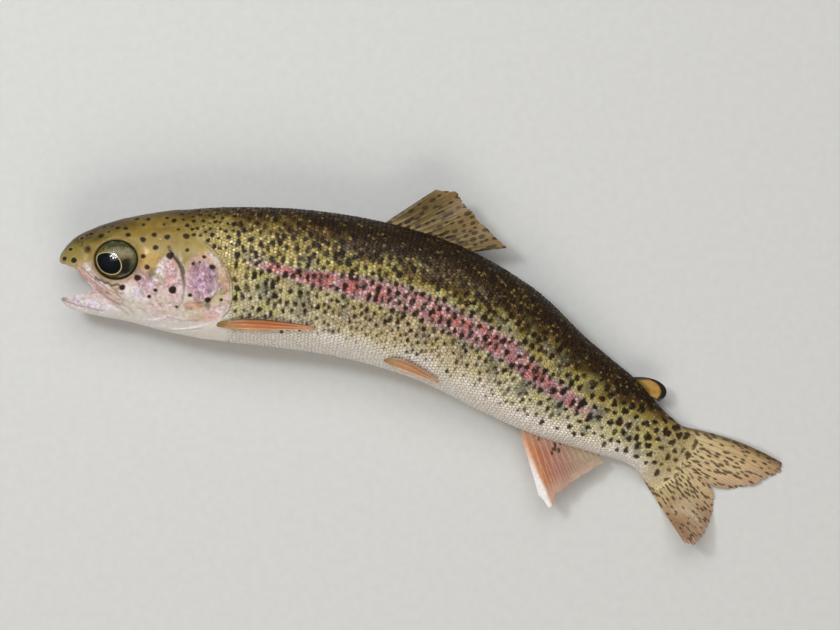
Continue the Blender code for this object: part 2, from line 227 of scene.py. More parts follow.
def flank_out(along, above):
    """How far out from the middle sheet the body is, at a place seen from the side."""
    share = np.minimum(np.abs(above) / height_at(along, above), 1.0) ** FLANK_FULLNESS
    return half_width(along) * (1 - share) ** (1 / FLANK_FULLNESS)


def turn_of(along, above, out, least_width=0.0):
    """Where round the body a place is: 0 on the back, half a turn on the belly."""
    up = np.abs(above / height_at(along, above)) ** (FLANK_FULLNESS / 2)
    side = np.abs(out / np.maximum(half_width(along), least_width)) ** (FLANK_FULLNESS / 2)
    return np.arctan2(side, np.sign(above) * up)


# ---------------------------------------------------------------- distance round the body

# Rows of scales and markings are laid out by distance round the body from the middle of the flank, so
# that they keep their size over the back and the belly.
CHART_STEP = 0.5
CHART_ALONG = np.arange(0.0, 200.0 + CHART_STEP, CHART_STEP)
TURNS = np.linspace(0.0, pi, 241)
SHARES = np.linspace(-1.0, 1.0, 201)


def girth_tables():
    """For each place along: the way round from flank to back and to belly, and turns by share of it."""
    up_way, down_way, turns = [], [], []
    for along in CHART_ALONG:
        above = round_power(np.cos(TURNS)) * height_at(along, np.cos(TURNS))
        out = round_power(np.sin(TURNS)) * half_width(along)
        gone = np.concatenate([[0.0], np.cumsum(np.hypot(np.diff(above), np.diff(out)))])
        middle = np.interp(pi / 2, TURNS, gone)
        up_way.append(middle)
        down_way.append(gone[-1] - middle)
        share = np.where(gone < middle, (middle - gone) / middle, (middle - gone) / (gone[-1] - middle))
        turns.append(np.interp(SHARES, share[::-1], TURNS[::-1]))
    return np.array(up_way), np.array(down_way), np.array(turns)


UP_WAY, DOWN_WAY, TURN_TABLE = girth_tables()


def read_table(table, rows, columns):
    """Reads a table between its entries."""
    i = np.clip(rows.astype(int), 0, table.shape[0] - 2)
    j = np.clip(columns.astype(int), 0, table.shape[1] - 2)
    a, b = np.clip(rows - i, 0, 1), np.clip(columns - j, 0, 1)
    low = table[i, j] * (1 - b) + table[i, j + 1] * b
    high = table[i + 1, j] * (1 - b) + table[i + 1, j + 1] * b
    return low * (1 - a) + high * a


def way_round(along, up):
    """Length round the body from the middle of the flank to the back, or to the belly."""
    to_back = np.interp(along, CHART_ALONG, UP_WAY)
    to_belly = np.interp(along, CHART_ALONG, DOWN_WAY)
    return np.where(up > 0, to_back, to_belly)


def turn_at(along, share):
    """The turn round the body at this share of the way from flank to back (1) or belly (-1)."""
    return read_table(TURN_TABLE, along / CHART_STEP, (share + 1) * (len(SHARES) - 1) / 2)


SHARE_TABLE = np.array([np.interp(TURNS, row[::-1], SHARES[::-1]) for row in TURN_TABLE])


def share_of(along, above, out):
    """How far round a place is: 1 on the back, 0 in the middle of the flank, -1 on the belly."""
    turn = turn_of(along, above, out)
    return read_table(SHARE_TABLE, np.clip(along, 0, 199) / CHART_STEP, turn / pi * (len(TURNS) - 1))


# ---------------------------------------------------------------- markings

# The dark spots of each side are drawn once on a chart of that side: how deep inside a spot a place
# lies, in millimetres. Skin and scales both read it.
SPOT_STEP = 0.125
SPOT_ALONG, SPOT_ROUND = (-2.0, 196.0), (-62.0, 62.0)
SPOT_EDGE = -0.6  # how far outside the spots the chart still counts
SPOT_TRIES = 20000
SPOTS_START = 34.0  # where the scattered ones start on the nape

stripe_height = smooth_curve(
    [45.0, 57.0, 67.7, 81.7, 95.8, 114.0, 126.0, 143.7, 158.0],
    [4.6, 3.4, 1.4, 0.8, 0.8, -0.4, 0.0, -1.9, -2.1],
)

# Spots placed one by one on the head, where each shows: along, above, radius.
HEAD_SPOTS = [
    (1.4, 2.1, 0.8), (3.0, 4.6, 0.7), (4.4, 1.7, 0.9), (6.0, 7.9, 0.7), (7.2, 8.8, 0.6), (8.4, 9.4, 0.7),
    (11.6, 8.4, 0.9), (12.0, 11.3, 0.6), (14.3, 11.6, 0.6), (16.0, 11.0, 0.8), (18.3, 11.2, 0.7),
    (13.7, 9.5, 0.4), (19.3, 9.1, 0.8), (21.0, 14.1, 0.7), (24.3, 14.1, 0.7), (23.2, 12.6, 0.5),
    (23.6, 8.3, 0.9), (26.6, 9.8, 0.8), (30.3, 9.4, 0.9), (31.7, 14.1, 0.8), (33.6, 16.2, 0.7),
    (29.6, 14.9, 0.6), (29.0, 13.0, 0.4), (35.5, 13.4, 0.7), (33.2, 11.9, 0.5), (35.6, 10.0, 1.0),
    (27.3, 6.3, 0.8), (24.0, 3.7, 0.7), (25.3, 0.7, 0.8), (31.5, 4.3, 1.1), (22.8, -2.3, 1.0),
    (18.6, -4.9, 0.9), (27.9, -5.3, 0.6), (26.2, -7.3, 0.6), (32.7, -5.1, 1.2), (38.1, 2.4, 0.5),
    (37.6, -6.4, 0.6), (33.9, -10.1, 0.5), (36.2, 5.9, 0.6), (41.0, 4.6, 0.6), (43.4, 1.6, 0.9),
    (42.6, -7.6, 0.9), (46.3, -7.6, 0.5), (39.9, 3.0, 0.4), (18.0, 15.2, 0.6), (26.6, 16.4, 0.7),
]
# Grey parr marks, which fade as the fish grows: along, above, radius, strength.
PARR_MARKS = [
    (59.5, -3.6, 3.6, 0.7), (69.5, -6.4, 3.8, 0.7), (81.0, -6.0, 3.6, 0.6), (93.0, -6.5, 3.4, 0.5),
    (106.0, -6.8, 3.3, 0.55), (118.0, -6.0, 3.2, 0.65), (128.0, -6.2, 3.2, 0.8), (139.0, -6.6, 2.9, 1.0),
    (149.5, -5.0, 3.0, 1.0), (160.5, -1.4, 3.0, 1.0), (160.0, -7.3, 2.1, 0.8), (170.5, -2.0, 2.3, 0.8),
    (144.0, 4.6, 3.2, 0.8), (133.0, 5.4, 2.6, 0.5), (154.5, 3.4, 2.4, 0.7), (176.5, -4.0, 2.0, 0.7),
]


def round_at(along, above):
    """Distance round the body from the middle of the flank, for a place on the flank."""
    out = flank_out(along, above)
    return share_of(along, above, out) * way_round(along, above)


def grown_spots(rng):
    """Spots scattered over one side behind the head: dense on the back, few on the lower flank."""
    kept = np.array([(a, float(round_at(a, b)), 2.6, 0.0) for a, b, _ in HEAD_SPOTS])
    for _ in range(SPOT_TRIES):
        along = rng.uniform(SPOTS_START, FLESH_END)
        share = rng.uniform(-0.66, 1.0)
        if along < blend(55.0, SPOTS_START, ease(0.1, 0.5, share)) and along < HEAD_LENGTH + 0.3:
            continue
        stalk = ease(132.0, 160.0, along)
        apart = blend(blend(1.98, 1.75, ease(0.1, 0.5, share)), 2.35, stalk)
        nape = ease(52.0, 44.0, along) * ease(0.3, 0.6, share)
        belly = ease(-0.05, -0.4, share)
        apart = apart * blend(1.0, 0.78, belly * ease(60, 80, along) * (1 - stalk)) * blend(1.0, 0.8, nape)
        apart = blend(apart, 2.3, ease(178, 188, along)) * rng.uniform(0.86, 1.2)
        size = blend(blend(0.32, 0.35, ease(0.1, 0.5, share)), 0.385, stalk)
        size = size * (1 + 0.16 * ease(62, 80, along) * ease(150, 130, along) * ease(0.05, 0.3, share))
        size = size * blend(1.0, 1.2, nape)
        radius = apart * size * blend(1.0, 0.66, ease(-0.1, -0.55, share)) * rng.uniform(0.72, 1.15)
        if rng.uniform() < ease(-0.36, -0.66, share) * (1 - 0.4 * stalk):
            continue
        if abs(share) < 0.14 and 60 < along < 158 and rng.uniform() < 0.4:
            continue
        away = share * way_round(along, share)
        near = np.hypot((kept[:, 0] - along) * 1.12, (kept[:, 1] - away) * 0.86)
        if np.all(near > (kept[:, 2] + apart) / 2):
            kept = np.vstack([kept, [along, away, apart, radius]])
    return [(along, away, radius) for along, away, _, radius in kept if radius > 0]


def spot_chart(seed):
    """Draws the spots of one side: each is a blot with an uneven edge, taller than it is long."""
    rng = np.random.default_rng(seed)
    columns = int((SPOT_ALONG[1] - SPOT_ALONG[0]) / SPOT_STEP) + 1
    rows = int((SPOT_ROUND[1] - SPOT_ROUND[0]) / SPOT_STEP) + 1
    chart = np.full((columns, rows), SPOT_EDGE)
    spots = [(a, float(round_at(a, b)) + rng.uniform(-0.15, 0.15), r) for a, b, r in HEAD_SPOTS]
    for along, away, radius in spots + grown_spots(rng):
        on_head = along < HEAD_LENGTH
        if on_head:
            tall, radius, uneven = rng.uniform(0.86, 1.0), 0.9 * radius, 0.05
        else:
            tall, uneven = rng.uniform(0.85, 1.2) * blend(1.65, 1.1, ease(140, 165, along)), 0.15
        phases = rng.uniform(0, 2 * pi, 3)
        deepest = 2.0 if on_head else rng.uniform(0.02, 0.75)
        reach = radius * 1.6 * tall - SPOT_EDGE
        i = int((along - SPOT_ALONG[0]) / SPOT_STEP)
        j = int((away - SPOT_ROUND[0]) / SPOT_STEP)
        n = int(reach / SPOT_STEP) + 1
        i0, i1 = max(i - n, 0), min(i + n, columns)
        j0, j1 = max(j - n, 0), min(j + n, rows)
        x = SPOT_ALONG[0] + np.arange(i0, i1)[:, None] * SPOT_STEP - along
        y = (SPOT_ROUND[0] + np.arange(j0, j1)[None, :] * SPOT_STEP - away) / tall
        angle = np.arctan2(y, x)
        edge = radius * (
            1
            + uneven * np.cos(2 * angle + phases[0])
            + uneven * np.cos(3 * angle + phases[1])
            + 0.6 * uneven * np.cos(5 * angle + phases[2])
        )
        inside = np.minimum(edge - np.hypot(x, y), deepest)
        chart[i0:i1, j0:j1] = np.maximum(chart[i0:i1, j0:j1], inside)
    return chart


def spots_at(charts, along, away, side):
    """How deep inside a dark spot each place lies, from its side's chart."""
    rows = (along - SPOT_ALONG[0]) / SPOT_STEP
    columns = (away - SPOT_ROUND[0]) / SPOT_STEP
    return np.where(side > 0, read_table(charts[1], rows, columns), read_table(charts[-1], rows, columns))


def blot(along, above, middle, reach, tilt):
    """A soft oval patch of colour: 1 in the middle, 0 past its reach."""
    dx, dy = along - middle[0], above - middle[1]
    c, s = cos(radians(tilt)), sin(radians(tilt))
    x, y = dx * c + dy * s, dy * c - dx * s
    return np.clip(1 - (x / reach[0]) ** 2 - (y / reach[1]) ** 2, 0, 1) ** 0.7


def distance_to_line(along, above, line):
    """Distance to a line of straight lengths, which side of it a place lies on (1 is its left), and how
    far down the line that is, as a share."""
    best = np.full(np.shape(along), 1e9)
    side = np.ones(np.shape(along))
    gone, run = np.zeros(np.shape(along)), 0.0
    for (ax, ay), (bx, by) in zip(line, line[1:]):
        length = np.hypot(bx - ax, by - ay)
        ux, uy = (bx - ax) / length, (by - ay) / length
        share = np.clip((along - ax) * ux + (above - ay) * uy, 0, length)
        away = np.hypot(along - ax - share * ux, above - ay - share * uy)
        nearer = away < best
        best = np.where(nearer, away, best)
        side = np.where(nearer, np.sign(ux * (above - ay) - uy * (along - ax)), side)
        gone = np.where(nearer, run + share, gone)
        run += length
    return best, side, gone / run


def smooth_line(points, count=60):
    """Many points on a smooth line through a few, evenly spaced."""
    xs, ys = np.array(points).T
    gone = np.concatenate([[0.0], np.cumsum(np.hypot(np.diff(xs), np.diff(ys)))])
    places = np.linspace(0, gone[-1], count)
    return list(zip(smooth_curve(gone, xs)(places), smooth_curve(gone, ys)(places)))


# The gill cover's free edge and the rim of the cheek in front of it, from top to bottom, and the seam
# between the two lowest plates of the cover.
GILL_EDGE = smooth_line([
    (38.6, 8.6), (41.9, 7.2), (44.3, 4.8), (47.3, 0.9), (48.7, -2.9), (48.9, -6.3), (48.1, -9.7),
    (45.5, -12.6), (41.0, -14.8), (35.0, -16.2), (28.0, -16.4), (20.5, -15.3),
])
CHEEK_RIM = smooth_line([
    (31.0, 6.6), (32.7, 4.1), (34.8, 0.7), (35.8, -4.5), (35.6, -8.1), (33.6, -11.2), (29.0, -13.4),
    (22.5, -14.4),
])
COVER_SEAM = smooth_line([(36.6, -8.0), (40.5, -8.0), (43.6, -5.6), (45.3, -1.8), (45.2, 2.2)])


def ridge_line(along, above, line, width):
    """1 on a line and 0 past this width from it, fading out at its two ends."""
    away, _, share = distance_to_line(along, above, line)
    return hump(away, 0, width) * ease(0.0, 0.08, share) * ease(1.0, 0.92, share)


def soft_noise(points, size, seed):
    """Gentle uneven swelling, from a few waves of about this length in random directions."""
    rng = np.random.default_rng(seed)
    total = np.zeros(points.shape[:-1])
    for _ in range(9):
        way = rng.normal(size=3)
        way = way / np.linalg.norm(way) * 2 * pi / (size * rng.uniform(0.7, 1.5))
        total += np.sin(points @ way + rng.uniform(0, 2 * pi))
    return total / 9


# Thin lines drawn on the head, each with its half width and its strength: pale ones along the edges
# of the bones, partly their own pale margins and partly painted highlights, and dark ones, mostly
# painted shade in the folds, grooves and under overlapping edges.
PALE_LINES = [
    (0.3, 0.8, [(40.7, 3.5), (43.0, 1.1), (44.2, -1.9), (44.5, -4.3), (43.3, -6.8)]),
    (0.34, 0.75, [(35.0, 2.6), (36.4, -0.2), (36.7, -4.0), (36.3, -7.4), (34.4, -11.0)]),
    (0.75, 0.9, [
        (41.4, 6.8), (43.7, 4.4), (46.5, 0.8), (47.8, -2.9), (48.0, -6.2), (47.2, -9.4), (44.9, -11.9),
    ]),
    (0.34, 0.7, [(1.5, -10.5), (7.3, -12.4), (14.8, -13.6), (22.0, -14.6)]),
    (0.28, 0.6, [(31.4, 3.0), (30.1, -0.6), (29.6, -4.0), (28.4, -7.4), (26.0, -9.6)]),
    (0.26, 0.55, [(19.0, -15.6), (27.0, -16.4), (35.0, -16.9)]),
    (0.3, 0.6, [(20.4, -8.4), (24.0, -6.2), (27.6, -3.0), (29.0, 0.6)]),
]
DARK_LINES = [
    (0.3, 0.8, [(32.8, 4.6), (34.0, 3.0), (35.2, 1.2), (35.9, -0.9)]),
    (0.2, 0.4, [(35.9, -0.9), (36.1, -4.4), (35.6, -8.0), (33.6, -11.2)]),
    (0.3, 1.0, [
        (10.5, -2.3), (11.8, -3.5), (12.6, -3.5), (13.6, -4.3), (14.6, -4.1), (15.6, -4.9), (17.2, -4.4),
        (18.4, -5.0),
    ]),
    (0.24, 0.65, [(10.8, -5.7), (13.4, -7.5), (15.8, -9.1), (18.4, -10.4)]),
    (0.22, 0.7, [
        (39.4, 8.9), (42.3, 7.7), (44.9, 5.1), (47.9, 1.2), (49.3, -2.9), (49.5, -6.4), (48.7, -9.9),
        (46.0, -13.0),
    ]),
    (0.2, 0.5, [(1.5, -9.7), (5.5, -10.8), (9.7, -11.5), (13.4, -12.2)]),
    (0.18, 0.4, [(15.4, -9.4), (18.6, -11.4), (20.6, -13.0)]),
    (0.18, 0.4, [(17.2, -9.2), (20.2, -10.6), (22.0, -12.2)]),
    (0.2, 0.35, [(24.0, -15.8), (33.0, -16.5), (41.6, -15.5)]),
    (0.2, 0.45, [(36.8, -8.2), (39.6, -8.6), (43.2, -7.4), (45.4, -4.8)]),
    (0.18, 0.3, [(30.6, -12.6), (35.6, -13.6), (40.4, -13.2)]),
]
# Patches of tint on the head, and a warm one low on the flank: how strong each is, its middle, its
# reach, and its tilt in degrees.
HEAD_TINTS = {
    "rose": [
        (0.9, 32.4, -2.6, 2.9, 9.0, 6), (0.7, 25.5, -5.0, 6.0, 3.2, -30), (0.9, 40.6, -1.6, 5.6, 7.6, 0),
        (0.7, 44.6, -10.6, 5.0, 2.6, 40), (0.55, 30.0, -11.5, 6.0, 3.4, -15),
        (0.6, 7.0, -10.0, 8.0, 2.6, -10), (0.55, 13.0, -8.2, 6.5, 1.7, -33),
    ],
    "gold": [
        (1.0, 25.2, 2.6, 4.0, 4.4, 0), (0.9, 42.6, 4.0, 4.6, 2.4, -35), (0.8, 19.5, -4.2, 6.5, 1.2, 25),
        (0.3, 28.0, 10.5, 14.0, 6.0, 0),
    ],
    # The cheek's own pale opal colour, with painted highlights on the cheek and the lower jaw.
    "pearl_and_highlight": [
        (0.95, 11.6, -4.3, 6.2, 1.7, -33), (0.7, 8.6, -0.6, 1.8, 2.3, 20),
        (0.85, 28.6, -0.6, 1.6, 5.4, -24), (0.8, 22.0, -6.4, 5.5, 2.6, -30),
        (0.9, 9.5, -10.7, 9.5, 2.7, -12), (0.6, 34.6, -1.0, 1.0, 7.0, 4), (0.7, 47.6, -7.6, 1.1, 6.0, 8),
        (0.35, 31.0, -15.0, 14.0, 3.0, -4),
    ],
    "violet": [
        (0.95, 41.2, -2.4, 5.0, 6.4, 10), (0.9, 46.0, -3.4, 1.1, 1.2, 0),
        (0.5, 24.6, -2.6, 4.6, 2.6, -38), (0.45, 6.5, -9.3, 6.0, 1.3, -8),
        (0.4, 10.6, -3.8, 5.0, 1.3, -33),
    ],
    "warm": [
        (0.95, 38.6, -9.2, 3.8, 1.6, 6), (0.7, 47.2, -3.0, 1.3, 7.0, 10),
        (0.6, 41.5, -12.2, 5.0, 1.4, 12), (0.5, 14.6, -7.2, 6.0, 0.9, -36),
        (0.3, 98.0, -8.0, 36.0, 5.5, 0),
    ],
    # The first two dark patches are painted shade in the rear nostril; the rest are dark smudges of the skin.
    "dark": [
        (0.7, 8.1, 4.9, 1.7, 1.25, -50), (1.0, 8.2, 4.9, 1.2, 0.95, -50),
        (0.5, 26.6, -1.2, 1.5, 2.2, -30), (0.55, 39.0, 1.4, 1.3, 2.0, 15),
        (0.4, 43.0, -0.2, 2.4, 3.6, 20), (0.7, 42.6, -9.0, 1.1, 1.5, 10), (0.6, 1.2, -9.2, 1.6, 1.0, 0),
    ],
    "moss": [
        (0.8, 29.0, -9.2, 8.5, 3.2, -6), (0.6, 22.0, -8.6, 4.0, 2.4, 0), (0.5, 43.0, 4.6, 4.0, 2.2, -40),
        (0.5, 36.0, -12.4, 8.0, 2.0, 4),
    ],
}


def patches(along, above, rows):
    """The strongest of these patches at each place."""
    return np.maximum.reduce([
        strength * blot(along, above, (a, b), (long, tall), tilt) for strength, a, b, long, tall, tilt in rows
    ])


def from_eye(along, above):
    """Distance from the middle of the eye, as a share of the eye's own size: 1 on its edge."""
    return np.hypot((along - EYE[0]) / EYE_SIZE[0], (above - EYE[1]) / EYE_SIZE[1])


def markings(charts, along, above, out):
    """What the skin's and the scales' materials read at each place."""
    side = np.where(out >= 0, 1.0, -1.0)
    share = share_of(along, above, out)
    away = share * way_round(along, share)
    spots = spots_at(charts, along, away, side)
    flank = ease(0.12, 0.5, np.abs(out) / np.maximum(half_width(along), 0.5))

    parr = np.zeros(len(along))
    for a, b, radius, strength in PARR_MARKS:
        shift = 0.0 if strength > 0.7 else 2.0
        near = np.hypot((along - a + np.where(side > 0, 0, shift)) * 1.15, (above - b) * 0.9)
        parr = np.maximum(parr, strength * ease(radius * 1.15, radius * 0.45, near))
    reach = blend(1.5, 3.7, ease(54, 98, along)) * blend(1.0, 0.55, ease(122, 158, along))
    stripe = ease(1.4, 0.3, np.abs(above - stripe_height(along) + 0.3) / reach)
    stripe = stripe * ease(50, 62, along) * ease(165, 150, along) * flank

    tints = {name: patches(along, above, rows) for name, rows in HEAD_TINTS.items()}
    for name, lines in (("dark", DARK_LINES), ("pearl_and_highlight", PALE_LINES)):
        for width, strength, line in lines:
            tints[name] = np.maximum(tints[name], strength * ridge_line(along, above, line, width))
    # Painted shade in the groove along the upper part of the cheek's rim.
    near_rim, _, rim_share = distance_to_line(along, above, CHEEK_RIM)
    rim = 0.8 * ease(0.75, 0.25, near_rim) * ease(0.42, 0.1, np.abs(rim_share - 0.13))
    dark = np.maximum(tints["dark"], rim)
    eye_away = EYE_SIZE[1] * from_eye(along, above)

    # How far round the fish a place looks to be: dark reaches lower in its middle, partly painted shadow over
    # the middle of the back, and less over the tail.
    places = np.stack([along, above, out], -1)
    high = ease(0.0, 0.35, share)
    around = 0.5 + 0.5 * share + 0.1 * soft_noise(places, 9.0, 3) + 0.06 * soft_noise(places, 3.4, 4)
    around = around + 0.045 * ease(62, 86, along) * ease(174, 156, along) * high
    around = around - 0.27 * ease(168, 186, along) * ease(0.1, 0.55, share)
    front = 0.08 * ease(84, 62, along) + 0.07 * ease(60, 46, along)
    around = around - front * ease(33, 41, along) * ease(0.1, 0.4, share)
    on_flank = ease(-0.66, -0.35, share) * ease(0.55, 0.25, share) * ease(44, 52, along)
    green = ease(0.0, 0.34, soft_noise(places, 5.5, 5)) * on_flank
    green = np.maximum(green, tints["moss"] * ease(-0.1, 0.25, soft_noise(places, 1.7, 7)) * flank)
    grey = ease(0.05, 0.4, soft_noise(places, 5.0, 6)) * on_flank
    return {
        "lie": np.stack([along / 100, share, around], -1),
        "drift": np.stack([green, grey, tints["violet"] * flank], -1),
        "marks": np.stack([spots, parr, stripe], -1),
        "tints": np.stack([tints["rose"], tints["gold"], tints["pearl_and_highlight"]], -1) * flank[:, None],
        "face": np.stack([tints["warm"] * flank, dark * flank, np.minimum(eye_away, 20.0)], -1),
    }


def plain_readings(charts, along, above, out):
    """The markings, with an even tone and no mouth."""
    readings = markings(charts, along, above, out)
    readings["chip"] = np.full(len(along), 0.5)
    readings["mouth"] = np.zeros(len(along))
    return readings


# ---------------------------------------------------------------- making meshes


def work_on(obj):
    """Makes this the one selected object, so that an operator acts on nothing else."""
    bpy.ops.object.select_all(action="DESELECT")
    obj.select_set(True)
    bpy.context.view_layer.objects.active = obj


def new_object(name, data):
    """Puts a mesh, lamp or camera in the scene."""
    obj = bpy.data.objects.new(name, data)
    bpy.context.scene.collection.objects.link(obj)
    return obj


def quick_mesh(name, points, faces):
    """A mesh object from points in millimetres and a list of arrays of faces, each of one kind."""
    mesh = bpy.data.meshes.new(name)
    mesh.vertices.add(len(points))
    mesh.vertices.foreach_set("co", (np.asarray(points, float) * MM).ravel())
    sizes = np.concatenate([np.full(len(f), f.shape[1]) for f in faces])
    corners = np.concatenate([f.ravel() for f in faces])
    mesh.loops.add(len(corners))
    mesh.loops.foreach_set("vertex_index", corners.astype(np.int32))
    mesh.polygons.add(len(sizes))
    starts = np.concatenate([[0], np.cumsum(sizes)[:-1]])
    mesh.polygons.foreach_set("loop_start", starts.astype(np.int32))
    mesh.update(calc_edges=True)
    mesh.validate()
    mesh.shade_smooth()
    return new_object(name, mesh)


def read_values(items, key, width=3, kind=np.float32):
    """One value of every item of a mesh, as rows of this width."""
    values = np.empty(len(items) * width, kind)
    items.foreach_get(key, values)
    return values.reshape(-1, width)


def read_points(obj):
    """The mesh's points in millimetres."""
    return read_values(obj.data.vertices, "co").astype(float) / MM


def write_points(obj, points):
    """Moves the mesh's points to these places in millimetres."""
    obj.data.vertices.foreach_set("co", (points * MM).astype(np.float32).ravel())
    obj.data.update()


def smoothed(points, edges, weight, rounds):
    """Moves points towards the middle of their neighbours, by the weight of each."""
    count = np.zeros(len(points))
    np.add.at(count, edges[:, 0], 1)
    np.add.at(count, edges[:, 1], 1)
    for _ in range(rounds):
        total = np.zeros_like(points)
        for axis in range(points.shape[1]):
            total[:, axis] = np.bincount(edges[:, 0], points[edges[:, 1], axis], len(points))
            total[:, axis] += np.bincount(edges[:, 1], points[edges[:, 0], axis], len(points))
        middle = total / np.maximum(count, 1)[:, None]
        points = points + (middle - points) * weight[:, None]
    return points


def give_readings(obj, readings):
    """Stores what the materials read, as named values on the mesh's points."""
    for name, values in readings.items():
        kind, part = ("FLOAT_VECTOR", "vector") if np.ndim(values) == 2 else ("FLOAT", "value")
        kept = obj.data.attributes.new(name, kind, "POINT")
        kept.data.foreach_set(part, np.ravel(values).astype(np.float32))


def finish_piece(obj, material, replaces=()):
    """Gives a piece its material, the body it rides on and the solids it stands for."""
    obj.data.materials.clear()
    obj.data.materials.append(material)
    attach(obj, "root")
    if replaces:
        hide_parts(*replaces)


def face_out(obj):
    """Turns all faces of a closed piece outwards."""
    work_on(obj)
    bpy.ops.object.mode_set(mode="EDIT")
    bpy.ops.mesh.select_all(action="SELECT")
    bpy.ops.mesh.normals_make_consistent(inside=False)
    bpy.ops.object.mode_set(mode="OBJECT")


def round_ball(name, segments, rings):
    """A ball with its poles on Z, and its own unit coordinates to shape it by."""
    bpy.ops.object.select_all(action="DESELECT")
    bpy.ops.mesh.primitive_uv_sphere_add(segments=segments, ring_count=rings, radius=1.0)
    ball = bpy.context.object
    ball.name = ball.data.name = name
    ball.data.shade_smooth()
    return ball, (read_points(ball) * MM).T


def grid_faces(rows, columns, start=0, flip=False):
    """Faces of a grid of points, rows by columns."""
    a = start + (np.arange(rows - 1)[:, None] * columns + np.arange(columns - 1)[None, :]).ravel()
    quads = np.stack([a, a + 1, a + columns + 1, a + columns], -1)
    return quads[:, ::-1] if flip else quads


def grid_ring(rows, columns):
    """The points round the rim of a grid, in order."""
    index = np.arange(rows * columns).reshape(rows, columns)
    return np.concatenate([index[0, :-1], index[:-1, -1], index[-1, :0:-1], index[:0:-1, 0]])


def plate_faces(rows, columns):
    """Faces of a closed plate: a top grid, a bottom grid after it, and the rim between them."""
    far = rows * columns
    top, bottom = grid_faces(rows, columns), grid_faces(rows, columns, far, flip=True)
    ring = grid_ring(rows, columns)
    after = np.roll(ring, -1)
    rim = np.stack([after, ring, ring + far, after + far], -1)
    return np.concatenate([top, bottom, rim])


# ---------------------------------------------------------------- skin

FLESH_NODES = [
    "head", "lower_jaw", "upper_jaw_left", "upper_jaw_right", "gill_cover_left", "gill_cover_right",
    "trunk", "tail_stalk",
]
LEAST_WIDTH = 0.62  # half of the least thickness that the remeshing keeps whole
SKIN_LOWEST = 0.3  # above the ground, so that there is room for the scales
VOXEL = 0.7  # of the remeshing that makes the skin one sheet
UNDER_GROUND = 20.0  # shapes that are cut or remeshed later may reach this far down
WIDER_THAN_HEAD = 15.0
GILL_STEP = 0.8  # how far the skin drops behind the gill cover
THIN_SHARE = 0.4  # the most that the skin sinks where the flesh is thin, as a share of its half width
OFF_MIDDLE = 4.0  # further out than this is flank, and not the walls of the mouth
# The opening between the lips, round which the jaws are cut apart.
GAPE = LOWER_LIP + [MOUTH_CORNER] + UPPER_LIP[::-1]

# Where the scales begin behind the head: above the axis, and along it.
scale_start = smooth_curve(
    [-19.5, -16.0, -12.6, -9.7, -6.3, -2.9, 0.9, 4.8, 8.6, 12.0, 20.0],
    [42.4, 44.8, 46.2, 47.7, 48.3, 48.1, 46.7, 43.4, 38.6, 35.0, 32.0],
)


def skin_sunk(along, above):
    """How far under the body's surface the skin lies, to leave room for the scales."""
    return COAT_DEPTH * ease(-1.5, 1.2, along - scale_start(above))


def ring_points(along, sides, shrink=1.0):
    """One section of the body, as a ring of points."""
    turns = np.arange(sides) * 2 * pi / sides
    up, side = round_power(np.cos(turns)), round_power(np.sin(turns))
    height = height_at(along, up) * shrink
    wide = max(float(half_width(along)), LEAST_WIDTH)
    return spot(along, up * height, side * wide * shrink, lowest=-UNDER_GROUND)


def rough_body():
    """The whole body as one loft, with a round snout and a thin rounded end over the tail fin."""
    sides = 72
    rings = [ring_points(-0.7 * cos(s), sides, sin(s) * 0.7 + 0.3) for s in (0.15, 0.6, 1.1)]
    rings += [ring_points(along, sides) for along in np.linspace(0.0, FLESH_END, 150)]
    points = np.concatenate(rings)
    count = len(rings)
    index = np.arange(count * sides).reshape(count, sides)
    a, b = index[:-1], index[1:]
    walls = np.stack([a, np.roll(a, -1, 1), np.roll(b, -1, 1), b], -1).reshape(-1, 4)
    ends = np.stack([index[0][::-1], index[-1]])
    body = quick_mesh("skin", points, [walls, ends])
    face_out(body)
    return body


def cut_away(obj, cutter):
    """Takes the cutter's shape out of the object for good."""
    work_on(obj)
    modifier = obj.modifiers.new("cut", "BOOLEAN")
    modifier.operation = "DIFFERENCE"
    modifier.solver = "EXACT"
    modifier.object = cutter
    bpy.ops.object.modifier_apply(modifier="cut")
    bpy.data.objects.remove(cutter)


def mouth_cutter():
    """The open wedge between the jaws, as a prism through the head."""
    count = len(GAPE)
    along, above = np.array(GAPE).T
    sides = [spot(along, above, side * WIDER_THAN_HEAD, lowest=-UNDER_GROUND) for side in (-1, 1)]
    low = np.arange(count)
    walls = np.stack([low, np.roll(low, -1), np.roll(low, -1) + count, low + count], -1)
    ends = np.stack([low[::-1], low + count])
    return quick_mesh("mouth_cutter", np.concatenate(sides), [walls, ends])


def hollow_cutter():
    """The hollow inside the jaws."""
    ball, (x, y, z) = round_ball("hollow_cutter", 32, 20)
    long, tall, wide = MOUTH_HOLLOW_SIZE
    write_points(ball, spot(MOUTH_HOLLOW[0] + x * long, MOUTH_HOLLOW[1] + y * tall, z * wide))
    return ball


def split_faces(obj, wanted):
    """Splits every edge whose two ends are wanted, once."""
    bm = bmesh.new()
    bm.from_mesh(obj.data)
    edges = [e for e in bm.edges if wanted[e.verts[0].index] and wanted[e.verts[1].index]]
    bmesh.ops.subdivide_edges(bm, edges=edges, cuts=1, use_grid_fill=True)
    bm.to_mesh(obj.data)
    bm.free()


